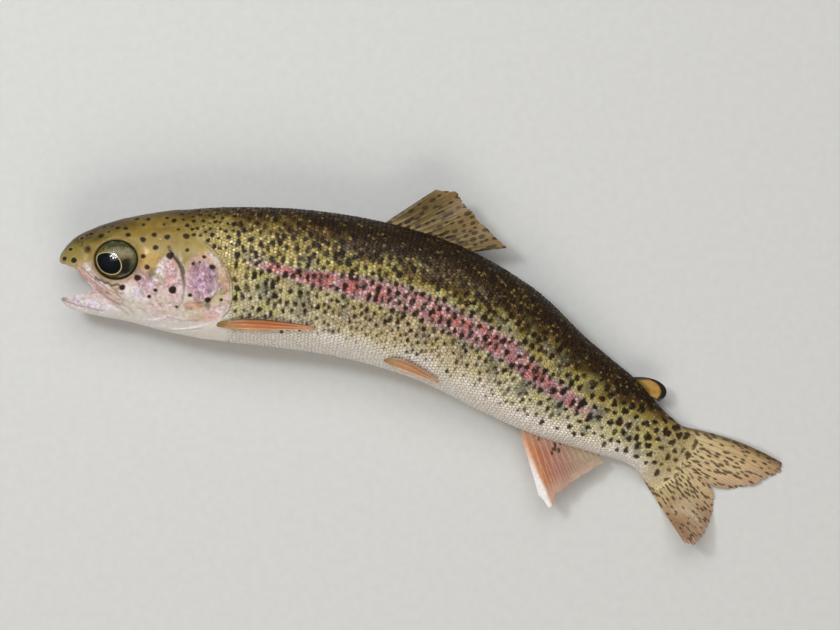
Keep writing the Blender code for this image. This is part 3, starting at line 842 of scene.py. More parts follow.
def refine_head(obj):
    """Splits the faces of the head once, and again along its sharp edges and round the eyes."""
    along, _, _ = place_of(read_points(obj))
    split_faces(obj, along < HEAD_LENGTH + 3.5)
    along, above, out = place_of(read_points(obj))
    sharp = (distance_to_line(along, above, GILL_EDGE)[0] < 0.9) & (np.abs(out) > 2.5)
    sharp |= (distance_to_line(along, above, CHEEK_RIM)[0] < 0.8) & (np.abs(out) > OFF_MIDDLE)
    sharp |= (np.abs(from_eye(along, above) - 1.02) < 0.13) & (np.abs(out) > OFF_MIDDLE)
    split_faces(obj, sharp)


def gape_at(along):
    """Heights of the upper and the lower lip."""
    return (np.interp(along, *np.array(lip + [MOUTH_CORNER]).T) for lip in (UPPER_LIP, LOWER_LIP))


def hollow_jaws(points, mouth):
    """Arches the palate and dishes the floor of the mouth between the lips."""
    along, above, out = place_of(points)
    roof, floor = gape_at(along)
    arch = np.clip(1 - (out / (0.8 * half_width(along))) ** 2, 0, 1) ** 0.7
    arch = arch * mouth * ease(0.6, 3.4, along) * ease(12.5, 9.0, along)
    ribs = 0.16 * np.sin(2 * pi * along / 1.3) * ease(2.0, 4.0, along)
    deeper = np.where(above > (roof + floor) / 2, 2.2 + ribs, -0.8)
    return spot(along, above + deeper * arch, out, lowest=SKIN_LOWEST)


def in_mouth(along, above, out):
    """1 on the walls of the mouth, 0 on the skin outside it."""
    roof, floor = gape_at(along)
    gape = ease(0.8, 0.4, above - roof) * ease(-0.8, -0.4, above - floor)
    gape = gape * ease(1.5, 0.5, along - MOUTH_CORNER[0])
    away = [(v - m) / s for v, m, s in zip((along, above, out), (*MOUTH_HOLLOW, 0.0), MOUTH_HOLLOW_SIZE)]
    hollow = ease(1.3, 1.15, np.sqrt(sum(d**2 for d in away)))
    return np.maximum(gape, hollow)


def laid_skin(points):
    """Draws points near the body's surface on to it exactly, and says how much each is mouth."""
    along, above, out = place_of(points)
    along = np.minimum(along, FLESH_END + 0.4)
    wide, tall = np.maximum(half_width(along), LEAST_WIDTH), height_at(along, above)
    share = np.abs(above / tall) ** FLANK_FULLNESS + np.abs(out / wide) ** FLANK_FULLNESS
    share = share ** (1 / FLANK_FULLNESS)
    mouth = ease(0.96, 0.88, share) * ease(22.0, 19.0, along) * in_mouth(along, above, out)
    snout = ease(1.2, 0.0, along)
    pull = (1 - mouth) * (1 - snout)
    sunk = np.minimum(skin_sunk(along, above), THIN_SHARE * half_width(along))
    turn = turn_of(along, above, out, LEAST_WIDTH)
    true_above = round_power(np.cos(turn)) * (tall - sunk)
    true_out = np.sign(out) * round_power(np.sin(turn)) * (half_width(along) - sunk)
    above, out = blend(above, true_above, pull), blend(out, true_out, pull)
    return spot(along, above, out, lowest=SKIN_LOWEST), mouth


def eye_plane(along, above):
    """The flat seat of the eye: the flank's height at the eye, carried on by its slope there."""
    middle = flank_out(*EYE)
    slope_along = (flank_out(EYE[0] + 4, EYE[1]) - flank_out(EYE[0] - 4, EYE[1])) / 8
    slope_above = (flank_out(EYE[0], EYE[1] + 4) - flank_out(EYE[0], EYE[1] - 4)) / 8
    return middle + slope_along * (along - EYE[0]) + slope_above * (above - EYE[1])


def head_out(along, above):
    """The head's half thickness, levelled round the eye."""
    level = 0.85 * ease(1.9, 1.15, from_eye(along, above))
    return blend(flank_out(along, above), eye_plane(along, above), level)


def seat_eyes(points):
    """Levels the skin round each eye, raises its rim and sinks the socket under the eyeball."""
    along, above, out = place_of(points)
    side = np.where(out >= 0, 1.0, -1.0)
    away = from_eye(along, above) * EYE_SIZE[1]
    rim = 0.2 * hump(away, 6.1, 0.45) - 0.1 * hump(away, 7.3, 0.8)
    socket = 2.4 * ease(5.62, 5.2, away)
    seated = side * (head_out(along, above) + rim - socket)
    near = (from_eye(along, above) < 1.9) & (np.abs(out) > OFF_MIDDLE)
    return np.where(near[:, None], spot(along, above, seated, lowest=SKIN_LOWEST), points)


# Thin folds, bones and grooves of the head: how high each stands or how deep it lies, its half width,
# and its line.
HEAD_FOLDS = [
    (-0.16, 0.3, COVER_SEAM),
    # The rays of the gill membrane, folded under the head.
    (0.16, 0.34, [(24.0, -15.9), (33.0, -17.0), (42.5, -15.9)]),
    (0.16, 0.34, [(23.0, -16.45), (33.0, -17.42), (41.5, -16.65)]),
    (0.16, 0.34, [(22.0, -17.0), (33.0, -17.84), (40.5, -17.4)]),
    (0.16, 0.34, [(21.0, -17.55), (33.0, -18.26), (39.5, -18.15)]),
    (0.16, 0.34, [(20.0, -18.1), (33.0, -18.68), (38.5, -18.9)]),
    # Grooves along the lower jaw and behind the corner of the mouth.
    (-0.22, 0.3, [(0.6, -10.1), (5.0, -11.2), (11.0, -13.0), (17.5, -15.2)]),
    (-0.14, 0.25, [(2.2, -11.2), (8.0, -12.9), (14.0, -14.4)]),
    (0.22, 0.55, [(1.0, -9.4), (5.1, -8.5), (9.0, -7.8)]),
    (-0.3, 0.4, [(11.4, -6.8), (14.6, -9.9), (17.8, -11.6)]),
    # Bones under the eye, each edged by a shallow line.
    (-0.16, 0.3, [(7.9, -2.6), (11.6, -5.4), (15.4, -7.6), (19.4, -8.4)]),
    (0.14, 0.7, [(8.2, -1.4), (11.4, -4.0), (15.6, -6.2), (20.2, -6.6)]),
    (-0.1, 0.35, [(22.6, -7.6), (26.4, -5.0), (28.2, -1.0), (28.4, 3.0)]),
    (-0.1, 0.35, [(20.6, -7.2), (22.2, -10.2), (24.8, -12.4)]),
    # The edge of the crown.
    (-0.2, 0.9, [(7.0, 8.2), (20.0, 11.2), (33.0, 12.4), (41.0, 12.6)]),
]
# Bumps and pits: height, reach, middle, and how much narrower than that each is along and above.
HEAD_BUMPS = [
    (-0.9, 0.5, (6.1, 6.1), (1.0, 1.0)),  # front nostril
    (-1.0, 0.62, (7.8, 4.9), (0.8, 1.0)),  # rear nostril
    (0.4, 0.75, (6.95, 5.5), (1.5, 1.0)),  # the flap of skin between them
    (0.25, 1.3, (15.0, 9.6), (0.5, 1.0)),  # brow
    (0.22, 3.6, (28.5, -3.5), (1.0, 0.8)),  # muscle of the cheek
]
# Pores of the sense canals: under the eye, along the cheek's rim, over the brow and on the jaw.
PORE_LINES = [
    (11, [(8.6, -1.8), (13.0, -5.6), (18.6, -7.2), (24.0, -5.6), (27.6, -1.6), (28.4, 3.0)]),
    (9, [(31.2, 5.4), (33.2, 1.2), (34.2, -4.6), (33.6, -9.0), (30.0, -12.4), (24.0, -13.6)]),
    (9, [(5.4, 7.6), (10.0, 9.6), (18.0, 9.9), (26.0, 8.6), (36.0, 8.2)]),
    (6, [(2.5, -10.8), (8.0, -12.1), (14.0, -13.6), (20.0, -14.6)]),
]
for pore_count, pore_line in PORE_LINES:
    HEAD_BUMPS += [(-0.2, 0.26, middle, (1.0, 1.0)) for middle in smooth_line(pore_line, pore_count)]


def overlap(along, above, line, full_from, full_to):
    """How far behind the edge of an overlapping bone a place is, and how much of the step there is, as it
    fades out towards the edge's two ends."""
    away, side, share = distance_to_line(along, above, line)
    return -away * side, ease(0.0, full_from, share) * ease(1.0, full_to, share)


def behind_gill(along, above):
    """The step of the skin behind the gill cover's free edge, in millimetres."""
    behind, fade = overlap(along, above, GILL_EDGE, 0.12, 0.72)
    return -GILL_STEP * ease(-0.06, 0.22, behind) * np.exp(-np.maximum(behind, 0) / 2.6) * fade


def head_relief(along, above, out):
    """How far the head's skin stands out or sinks, in millimetres, for its bones, folds and openings."""
    relief = behind_gill(along, above)

    # The cheek's rim overlaps the gill cover's front in a thin groove.
    behind, fade = overlap(along, above, CHEEK_RIM, 0.15, 0.8)
    relief -= 0.4 * ease(-0.1, 0.2, behind) * np.exp(-np.maximum(behind, 0) / 1.2) * fade
    relief += 0.16 * hump(-behind, 0.5, 0.7) * fade

    # The gill cover's plate is faintly ribbed along its growth.
    from_root = np.hypot(along - 36.0, above - 3.0)
    on_cover = ease(36.2, 38.0, along) * ease(48.5, 46.5, along)
    on_cover = on_cover * ease(-11.5, -9.5, above) * ease(6.0, 4.0, above)
    relief += 0.035 * np.sin(from_root * 2 * pi / 1.9) * on_cover

    for high, width, line in HEAD_FOLDS:
        relief += high * ridge_line(along, above, line, width)
    for high, reach, (a, b), (narrow_along, narrow_above) in HEAD_BUMPS:
        away = np.hypot((along - a) * narrow_along, (above - b) * narrow_above)
        relief += high * hump(away, 0, reach)
    return relief * ease(0.25, 0.6, np.abs(out) / half_width(along))


def body_swell(points):
    """The skin's slow unevenness, in millimetres."""
    return 0.1 * soft_noise(points, 7.0, 1)


def make_skin(charts, material):
    """One skin over head, trunk and tail stalk, with an open mouth, and the head's relief in its mesh."""
    skin = rough_body()
    cut_away(skin, mouth_cutter())
    cut_away(skin, hollow_cutter())
    skin.data.remesh_voxel_size = VOXEL * MM
    work_on(skin)
    bpy.ops.object.voxel_remesh()
    refine_head(skin)

    edges = read_values(skin.data.edges, "vertices", 2, np.int32)
    points = read_points(skin)
    along, above, _ = place_of(points)

    # The remeshing's steps are smoothed away: on the head a little, on the snout and the lips more.
    points = smoothed(points, edges, np.where(along < 22.0, 0.5, 0.0), 3)
    by_lip = ease(1.6, 0.8, distance_to_line(along, above, GAPE)[0]) * ease(7.0, 5.0, along)
    points = smoothed(points, edges, 0.5 * np.maximum(ease(5.0, 1.5, along), by_lip), 10)

    # The outside is drawn on to the body and the mouth is hollowed, and the lips are rounded between them.
    points, mouth = laid_skin(points)
    points = hollow_jaws(points, mouth)
    near_mouth = smoothed(mouth[:, None], edges, np.full(len(points), 0.5), 4)[:, 0]
    lip = np.clip(ease(0.01, 0.2, near_mouth) + ease(3.0, 1.0, along) + by_lip, 0, 1)
    points = smoothed(points, edges, 0.5 * lip, 6)
    points = smoothed(points, edges, 0.5 * lip * ease(9.5, 8.0, along), 6)
    points = seat_eyes(points)
    write_points(skin, points)

    # The relief stands straight out of the skin.
    normals = read_values(skin.data.vertex_normals, "vector").astype(float)
    along, above, out = place_of(points)
    relief = head_relief(along, above, out) * (1 - mouth) * ease(HEAD_LENGTH + 12, HEAD_LENGTH + 2, along)
    relief += body_swell(points) + 0.03 * soft_noise(points, 2.2, 2) * ease(60, 45, along)
    near_eye = ease(1.0, 1.25, from_eye(along, above))
    points = points + normals * (relief * near_eye)[:, None]
    points[:, 2] = np.maximum(points[:, 2], SKIN_LOWEST)
    write_points(skin, points)

    readings = plain_readings(charts, *place_of(points))
    readings["mouth"] = mouth
    give_readings(skin, readings)
    skin.data.shade_smooth()
    finish_piece(skin, material, FLESH_NODES)


# ---------------------------------------------------------------- upper jaw, tongue and eyes

JAW_BONE_ENDS = ((5.8, -0.1), (18.8, -9.4))  # front and rear of the blade over the corner of the mouth
JAW_BONE_WIDTHS = (1.4, 2.3)
JAW_BONE_RISE = 0.34


def make_jaw_bone(side, word, charts, material):
    """A thin bone over the corner of the mouth: a crowned blade with a round rear end."""
    rows, columns = 56, 17
    share = np.linspace(0, 1, rows)[:, None]
    across = np.linspace(-1, 1, columns)[None, :]
    front, rear = np.array(JAW_BONE_ENDS)
    length = np.hypot(*(rear - front))
    way = (rear - front) / length
    width = blend(*JAW_BONE_WIDTHS, ease(0.0, 0.85, share))
    round_end, round_front = (
        np.sqrt(1 - np.clip(gone, 0, 1) ** 2) for gone in ((share - 0.82) / 0.18, (0.1 - share) / 0.1)
    )
    half = width / 2 * np.maximum(np.minimum(round_end, round_front), 0.04)
    sag = -0.55 * np.sin(pi * share)
    along = front[0] + share * length * way[0] - (across * half + sag) * way[1]
    above = front[1] + share * length * way[1] + (across * half + sag) * way[0]
    crown = JAW_BONE_RISE * ease(0.0, 0.2, share) * (1 - 0.75 * np.abs(across) ** 3) * (0.4 + 0.6 * round_end)
    ridge = 0.09 * hump(across, 0.25, 0.28) - 0.07 * hump(across, -0.35, 0.2)
    skin = head_out(along, above)
    top = spot(along, above, side * (skin + crown + ridge * ease(0, 0.3, share)))
    low = spot(along, above, side * (skin - 0.9))
    points = np.concatenate([top.reshape(-1, 3), low.reshape(-1, 3)])
    bone = quick_mesh(f"jaw_bone_{word}", points, [plate_faces(rows, columns)])
    face_out(bone)

    def on_both_faces(values):
        return np.tile(np.broadcast_to(values, (rows, columns)).ravel(), 2)

    streak = hump(across, -0.1, 0.12) * ease(0.1, 0.3, share) * ease(0.95, 0.7, share)
    readings = plain_readings(charts, *place_of(points))
    # The bone's warm lower side, painted shade along its upper edge where it tucks under the bones above, a
    # fine dark streak, and a little rose and pale opal tint.
    readings["face"][:, 0] = 0.3 + 0.35 * on_both_faces(ease(-0.3, -0.9, across))
    readings["face"][:, 1] = np.maximum(
        0.7 * on_both_faces(ease(0.72, 0.95, across)), 0.35 * on_both_faces(streak)
    )
    readings["tints"][:, 0] = 0.25
    readings["tints"][:, 2] = 0.2
    give_readings(bone, readings)
    finish_piece(bone, material)


TONGUE = (10.4, -8.45)  # its middle, along the axis and above it
TONGUE_SIZE = (5.0, 1.15, 2.2)  # half its length, thickness and width


def make_tongue(material):
    tongue, (x, y, z) = round_ball("tongue_flesh", 40, 24)
    long, thick, wide = TONGUE_SIZE
    groove = 0.16 * hump(z, 0, 0.25) * (y > 0)
    above = TONGUE[1] + y * thick * (1 - 0.25 * x) - groove
    write_points(tongue, spot(TONGUE[0] + x * long, above, z * wide * (1 - 0.2 * x**2)))
    finish_piece(tongue, material, ["tongue"])


PUPIL_MIDDLE = (-2.0, -1.0)  # from the middle of the eye
PUPIL_SIZE = (3.7, 2.75)  # half its length and half its width
PUPIL_TILT = -29.0  # its long axis points down to the rear
EYEBALL_SHARE = 0.985  # of the socket's opening, so that the clear dome covers the ball's edge
EYE_GRID = (96, 72)  # segments and rings of the ball and of the dome


def pupil_edge(dx, dy):
    """How far outside the pupil's edge a place of the eye lies, in millimetres."""
    c, s = cos(radians(PUPIL_TILT)), sin(radians(PUPIL_TILT))
    x, y = dx - PUPIL_MIDDLE[0], dy - PUPIL_MIDDLE[1]
    u, v = x * c + y * s, y * c - x * s
    narrow = 1 - 0.16 * ease(0.1, 1.0, -u / PUPIL_SIZE[0])
    return (np.hypot(u / PUPIL_SIZE[0], v / (PUPIL_SIZE[1] * narrow)) - 1) * PUPIL_SIZE[1]


def seat_ball(ball, side, along, above, height):
    """Lays a part of the eye in its seat, this high over the seat's edge."""
    write_points(ball, spot(along, above, side * (eye_plane(along, above) - EYE_SINK + height)))
    face_out(ball)


def make_eye(side, word, eye_material, clear_material):
    """The eyeball, with its flat iris and the lens bulging in the pupil, and the clear dome over it."""
    ball, (x, y, z) = round_ball(f"eyeball_{word}", *EYE_GRID)
    dx, dy = x * EYE_SIZE[0], y * EYE_SIZE[1]
    edge = pupil_edge(dx, dy)
    front = EYE_DOME * 0.5 * z + 0.35 * ease(0.0, -1.6, edge) + 0.1 * hump(edge, 0.3, 0.35)
    along, above = EYE[0] + EYEBALL_SHARE * dx, EYE[1] + EYEBALL_SHARE * dy
    seat_ball(ball, side, along, above, np.where(z > 0, front, 2.8 * z))
    give_readings(ball, {"iris": np.stack([dx, dy, edge], -1)})
    finish_piece(ball, eye_material, [f"eye_{word}"])

    dome, (x, y, z) = round_ball(f"cornea_{word}", *EYE_GRID)
    along, above = EYE[0] + x * EYE_SIZE[0], EYE[1] + y * EYE_SIZE[1]
    seat_ball(dome, side, along, above, np.where(z > 0, EYE_DOME * z, 3.0 * z))
    finish_piece(dome, clear_material)


# ---------------------------------------------------------------- scales

SCALE_PLACES = [32.0, 38.0, 50.0, 68.0, 127.0, 165.0, 185.0, 192.0]
scale_length = smooth_curve(SCALE_PLACES, [0.74, 0.86, 1.0, 1.12, 1.08, 0.94, 0.8, 0.72])
scale_width = smooth_curve(SCALE_PLACES, [0.68, 0.8, 0.94, 1.02, 0.98, 0.8, 0.68, 0.62])
GRID = 5  # points along and across one scale
OVERLAP = 1.95  # how many columns one scale reaches over
SIDE_OVERLAP = 1.3  # how many rows it reaches over
SCALE_OUTLINE = [0.5, 0.9, 1.0, 0.9, 0.56]  # shares of its width, from its root to its free edge
HIGHEST_LIFT = 0.24  # of any place of a scale above the skin, so that it stays inside the solids


def scale_roots(upper, rng):
    """The roots of one piece of the coat: columns along the fish, each shifted by half a row."""
    roots = []
    along, column = SCALE_PLACES[0], 0
    while along < FLESH_END - 0.6:
        pitch = float(scale_width(along))
        reach = float(np.interp(along, CHART_ALONG, UP_WAY if upper else DOWN_WAY))
        rows = np.arange(0, int(reach / pitch) + 2) + 0.5 * (column % 2)
        if not upper:
            rows = -rows if column % 2 else -rows - 1
        away = rows * pitch
        away = away[np.abs(away) < reach - 0.1]
        roots.append(np.stack([np.full(len(away), along), away], -1))
        along += float(scale_length(along))
        column += 1
    roots = np.concatenate(roots)
    roots[:, 0] += rng.uniform(-0.2, 0.2, len(roots))
    roots[:, 1] += rng.uniform(-0.09, 0.09, len(roots))
    turn = turn_at(roots[:, 0], np.clip(roots[:, 1] / way_round(roots[:, 0], roots[:, 1]), -1, 1))
    above = round_power(np.cos(turn)) * height_at(roots[:, 0], np.cos(turn))
    end = FLESH_END - 1.2 - 3.8 * (np.abs(above) / 9.5) ** 1.7 + rng.uniform(-0.7, 0.7, len(roots))
    start = scale_start(above)
    kept = (roots[:, 0] > start) & (roots[:, 0] < end)
    slow = np.maximum(ease(3.0, 9.0, above), ease(-11.0, -14.0, above))
    grown = np.clip((roots[:, 0] - start) / blend(1.2, 6.0, slow), 0, 1)
    return np.column_stack([roots, grown])[kept]


def coat_points(along, away, lift, side):
    """Points over the skin: along the fish, the way round it, and how far above the skin."""
    turn = turn_at(along, np.clip(away / way_round(along, away), -1, 1))
    up, out = round_power(np.cos(turn)), round_power(np.sin(turn))
    tall, wide = height_at(along, up), half_width(along)
    sunk = np.minimum(COAT_DEPTH, THIN_SHARE * wide)
    above, outward = up * (tall - sunk), side * out * (wide - sunk)
    base = spot(along, above, outward, lowest=SKIN_LOWEST)

    # The slope of the body's section gives the way straight out of the skin.
    up_part = np.sign(up) * np.abs(up) ** (FLANK_FULLNESS - 1) / tall
    out_part = np.sign(outward) * np.abs(out) ** (FLANK_FULLNESS - 1) / wide
    size = np.hypot(up_part, out_part).clip(1e-9)
    up_part, out_part = up_part / size, out_part / size
    _, _, heading_turn = axis_at(along)
    normal = np.stack([up_part * np.sin(heading_turn), up_part * np.cos(heading_turn), out_part], -1)
    flat = (base[..., 2] <= SKIN_LOWEST + 0.001)[..., None]
    normal = np.where(flat, np.array([0.0, 0.0, -1.0]), normal)
    lift = lift + behind_gill(along, above) * ease(0.25, 0.6, out) + body_swell(base)
    points = base + normal * lift[..., None]
    points[..., 2] = np.maximum(points[..., 2], GROUND_GAP)
    return points, above, outward


def make_coat(name, side, upper, charts, material, seed):
    """One piece of the coat: every scale a thin plate, rooted in the skin, with its rear edge free."""
    rng = np.random.default_rng(seed)
    roots = scale_roots(upper, rng)
    count = len(roots)
    root_along, root_away, grown = roots.T[:, :, None, None]

    # The outline of each scale: a runs from its root to its free edge, and b across it.
    a = np.linspace(0, 1, GRID)[:, None]
    b = np.linspace(-1, 1, GRID)[None, :]
    reach = a * (1 - 0.16 * (b**2) * a)
    width = b * np.array(SCALE_OUTLINE)[:, None]
    dome = (1 - b**2) * np.sin(pi * np.clip(a, 0, 1)) ** 0.5
    size = rng.uniform(0.94, 1.06, count)[:, None, None]
    roll = rng.normal(0, 0.02, count)[:, None, None]
    rise = rng.uniform(0.82, 1.2, count)[:, None, None]
    along = root_along + (reach - 0.35) * (scale_length(root_along) * OVERLAP) * size
    away = root_away + width * (scale_width(root_along) * SIDE_OVERLAP / 2) * size

    # The root lies in the skin and the free edge stands off it, less so under the belly and on the tail.
    under = ease(0.45, 0.8, -root_away / way_round(root_along, root_away))
    lift = blend(-0.08, -0.035, under) + 0.125 * a * rise * blend(1.0, 0.6, under)
    lift = lift + 0.025 * dome + roll * b * a
    lift = lift * blend(1.0, 0.75, ease(150, 180, along))
    buried = 0.12 * ease(0.8, 0.0, grown) + 0.05 * ease(184.0, 191.0, root_along)
    lift = np.minimum(lift - buried, HIGHEST_LIFT)
    along = np.minimum(along, FLESH_END + 1.0)

    # One more point of each scale, under its middle, closes its lower side.
    along, away, lift = (
        np.concatenate([v.reshape(count, -1), v[:, GRID // 2, GRID // 2, None] - sunk], 1)
        for v, sunk in ((along, 0.0), (away, 0.0), (lift, 0.1))
    )
    points, above, outward = coat_points(along, away, lift, side)
    each = GRID * GRID + 1
    ring = grid_ring(GRID, GRID)
    top = grid_faces(GRID, GRID)
    bottom = np.stack([np.roll(ring, -1), ring, np.full(len(ring), GRID * GRID)], -1)
    if side > 0:
        top, bottom = top[:, ::-1], bottom[:, ::-1]
    starts = (np.arange(count) * each)[:, None, None]
    faces = [(top[None] + starts).reshape(-1, 4), (bottom[None] + starts).reshape(-1, 3)]
    coat = quick_mesh(name, points.reshape(-1, 3), faces)

    # Each scale has a tone of its own, and the edges of the spots keep to the scales a little.
    outward = outward.ravel()
    outward = np.where(outward == 0, side * 1e-3, outward)
    readings = plain_readings(charts, along.ravel(), above.ravel(), outward)
    spots = readings["marks"][:, 0].reshape(count, each)
    middle = spots[:, GRID * GRID // 2][:, None]
    uneven = rng.normal(0, 0.06, count)[:, None]
    readings["marks"][:, 0] = (0.68 * spots + 0.32 * middle + uneven).ravel()
    readings["chip"] = np.repeat(blend(0.5, rng.uniform(0, 1, count), roots[:, 2]), each)
    give_readings(coat, readings)
    bake_map(coat, roots, along, away)
    finish_piece(coat, material)


MAP_START, MAP_LENGTH = 31.0, 162.0  # along the axis
MAP_LOW, MAP_HEIGHT = -56.0, 112.0  # round the body
MAP_PATCH = 0.003 / 2.4  # the map's share for each millimetre of a scale


def bake_map(coat, roots, along, away):
    """A small patch for each scale, at its root's place on the side of the fish rolled out flat."""
    root_along, root_away = roots[:, :1], roots[:, 1:2]
    u = (root_along - MAP_START) / MAP_LENGTH + (along - root_along) * MAP_PATCH
    v = (root_away - MAP_LOW) / MAP_HEIGHT + (away - root_away) * MAP_PATCH
    places = np.stack([u, v], -1).reshape(-1, 2)
    corners = read_values(coat.data.loops, "vertex_index", 1, np.int32)[:, 0]
    layer = coat.data.uv_layers.new(name="OFBake")
    layer.data.foreach_set("uv", places[corners].astype(np.float32).ravel())


# ---------------------------------------------------------------- fins


def ribs(down, across, rays, fork=0.4, again=0.7):
    """How much of a ray each place of a fin is: every ray forks, and its branches fork again."""
    place = across * rays
    off = np.abs(place - np.floor(place) - 0.5)
    first = 0.24 * ease(fork, fork + 0.3, down)
    second = 0.12 * ease(again, again + 0.25, down)
    width = blend(0.2, 0.085, ease(fork - 0.1, again + 0.1, down))
    return np.exp(-((np.abs(np.abs(off - first) - second) / width) ** 2))


LAST_SHARE = 0.99999  # just short of the whole way across, so that it still falls in the last ray


def fin_sheet(name, middle, rays, thick, material, replaces, spots=None, rows=44, per_ray=12, ray_high=0.16):
    """A closed sheet of rays and web. The fin's middle sheet, its thickness and its spots are functions
    of how far down the fin and across it a place is, from 0 to 1."""
    columns = rays * per_ray + 1
    down = np.linspace(0, 1, rows)[:, None] * np.ones((1, columns))
    across = np.ones((rows, 1)) * np.linspace(0, 1, columns)[None, :]
    place = middle(down, across)
    normal = np.cross(np.gradient(place, axis=0), np.gradient(place, axis=1))
    normal = normal / np.linalg.norm(normal, axis=-1, keepdims=True).clip(1e-9)
    rib = ribs(down, np.clip(across, 0, LAST_SHARE), rays)
    half = thick(down, across) / 2 + ray_high * rib * blend(1.0, 0.45, down)
    edge = np.minimum(np.minimum(across, 1 - across) * columns / 5, (1 - down) * rows / 4)
    half = half * (0.35 + 0.65 * ease(0, 1, edge))
    points = np.concatenate([(place + side * normal * half[..., None]).reshape(-1, 3) for side in (1, -1)])
    points[:, 2] = np.maximum(points[:, 2], GROUND_GAP)
    fin = quick_mesh(name, points, [plate_faces(rows, columns)])
    face_out(fin)
    down, across = down.ravel(), across.ravel()
    marks = spots(place.reshape(-1, 3), down, across) if spots else np.full(down.size, -1.0)
    fan_places = np.stack([down, across, rib.ravel()], -1)
    give_readings(fin, {"fan": np.tile(fan_places, (2, 1)), "spots": np.tile(marks, 2)})
    finish_piece(fin, material, replaces)


def thinning(at_edge, reach, at_root=1.1):
    """A fin's thickness, which falls from its root to this share of the way down."""
    return lambda down, across: blend(at_root, at_edge, ease(0.0, reach, down))


def frayed(across, rays, seed, deep):
    """Shares of a fin's length: the web draws back between the rays, and no two rays are the same."""
    rng = np.random.default_rng(seed)
    uneven = rng.uniform(-1, 1, rays + 2)
    place = np.clip(across, 0, LAST_SHARE) * rays
    off = np.abs(place - np.floor(place) - 0.5) * 2
    twin = np.abs(off - 0.5) * 2
    nicks = 1 - deep * off**3 - deep * 0.45 * (1 - np.abs(1 - twin)) ** 2
    return nicks + 0.018 * np.interp(place, np.arange(rays + 2), uneven)


def directions(along):
    """The way to the tail and the way to the back, at a place along the axis."""
    _, _, turn = axis_at(np.float64(along))
    return np.array([cos(turn), -sin(turn), 0.0]), np.array([sin(turn), cos(turn), 0.0])


def fin_root(start, end, sunk, up=1):
    """The two ends of a fin's root, this deep in the back (1) or the belly (-1), and its two ways."""
    edge = back_height if up > 0 else belly_depth
    back, outward = directions((start + end) / 2)
    front, rear = (spot(along, up * (edge(along) - sunk)) for along in (start, end))
    return front, rear, back, up * outward


def fan(front, rear, back, outward, angles, lengths, wave=0.0, waves=2.5, rooted=0.0):
    """The middle sheet of a fan of rays from its root, gently waved. Its rays start this far inside."""
    lift = np.cross(back, outward)

    def middle(down, across):
        root = front + (rear - front) * across[..., None]
        turn = np.radians(angles(across))
        way = np.cos(turn)[..., None] * back + np.sin(turn)[..., None] * outward
        reach = ((lengths(across) + rooted) * down)[..., None] - rooted
        ripple = wave * np.sin(2 * pi * (across * waves + 0.35 * down)) * down**1.5
        return root + way * reach + lift * ripple[..., None]

    return middle


def slanted(back, outward, degrees):
    """The way of a fin's rays, this many degrees up from the way to the tail."""
    return back * cos(radians(degrees)) + outward * sin(radians(degrees))


def inside_spot(places, middle, size, stretch, way):
    """How deep inside one spot each place lies. The spot is drawn out along its ray."""
    away = places - middle
    down_ray = away @ way
    rest = np.linalg.norm(away - down_ray[:, None] * way, axis=1)
    return size - np.hypot(down_ray / stretch, rest)


def scattered(places, count, seed, radius, stretch, way):
    """Small dark spots scattered over a fin, drawn out along its rays."""
    rng = np.random.default_rng(seed)
    chosen = places[rng.integers(0, len(places), count * 3)]
    kept = []
    for middle in chosen:
        if len(kept) < count and all(np.linalg.norm(middle - k) > radius * 2.6 for k in kept):
            kept.append(middle)
    inside = np.full(len(places), -1.0)
    for middle in kept:
        size = radius * rng.uniform(0.7, 1.3)
        inside = np.maximum(inside, inside_spot(places, middle, size, stretch, way))
    return inside


def make_dorsal_fin(material):
    sunk, rays = 1.5, 13
    root = fin_root(86.0, 108.0, sunk)

    def lengths(across):
        full = blend(22.5, 10.5, across**0.75) * (0.8 + 0.2 * ease(0.0, 0.12, across))
        return sunk + full * frayed(across, rays, 11, 0.022)

    def spots(places, down, across):
        return scattered(places, 95, 21, 0.5, 1.6, slanted(*root[2:], 38))

    middle = fan(*root, lambda across: blend(50.0, 24.0, across**0.8), lengths, wave=0.6, rooted=1.5)
    fin_sheet("dorsal_fin_rays", middle, rays, thinning(0.34, 0.35), material, ["dorsal_fin"], spots)


def make_anal_fin(material):
    sunk, rays = 1.2, 12
    root = fin_root(144.0, 166.5, sunk, up=-1)

    def lengths(across):
        full = blend(28.5, 3.0, across**0.62) * (0.74 + 0.26 * ease(0.0, 0.09, across))
        full = full * (1 - 0.07 * hump(across, 0.2, 0.03))
        return sunk + full * frayed(across, rays, 12, 0.02)

    def spots(places, down, across):
        kept = places[(down > 0.2) & (down < 0.42) & (across > 0.15) & (across < 0.55)]
        inside = np.full(len(places), -1.0)
        rng = np.random.default_rng(22)
        for middle in kept[rng.integers(0, len(kept), 9)]:
            size = rng.uniform(0.2, 0.45)
            inside = np.maximum(inside, inside_spot(places, middle, size, 1.8, slanted(*root[2:], 50)))
        return inside

    middle = fan(*root, lambda across: blend(41.0, 24.0, across), lengths, wave=0.45, waves=2.0, rooted=1.5)
    fin_sheet("anal_fin_rays", middle, rays, thinning(0.32, 0.35), material, ["anal_fin"], spots)


def make_adipose_fin(material):
    """The small fin of flesh, with no rays, behind the dorsal fin."""
    sunk = 1.0
    root = fin_root(163.5, 169.8, sunk)

    def lengths(across):
        return sunk + 1.3 + 1.9 * across + 5.4 * np.sin(pi * across**0.7)

    def thick(down, across):
        return blend(1.5, 0.7, down)

    middle = fan(*root, lambda across: blend(38.0, 5.0, across), lengths, wave=0.15, waves=1.0, rooted=1.5)
    fin_sheet("adipose_flap", middle, 6, thick, material, ["adipose_fin"], rows=40, ray_high=0.0)


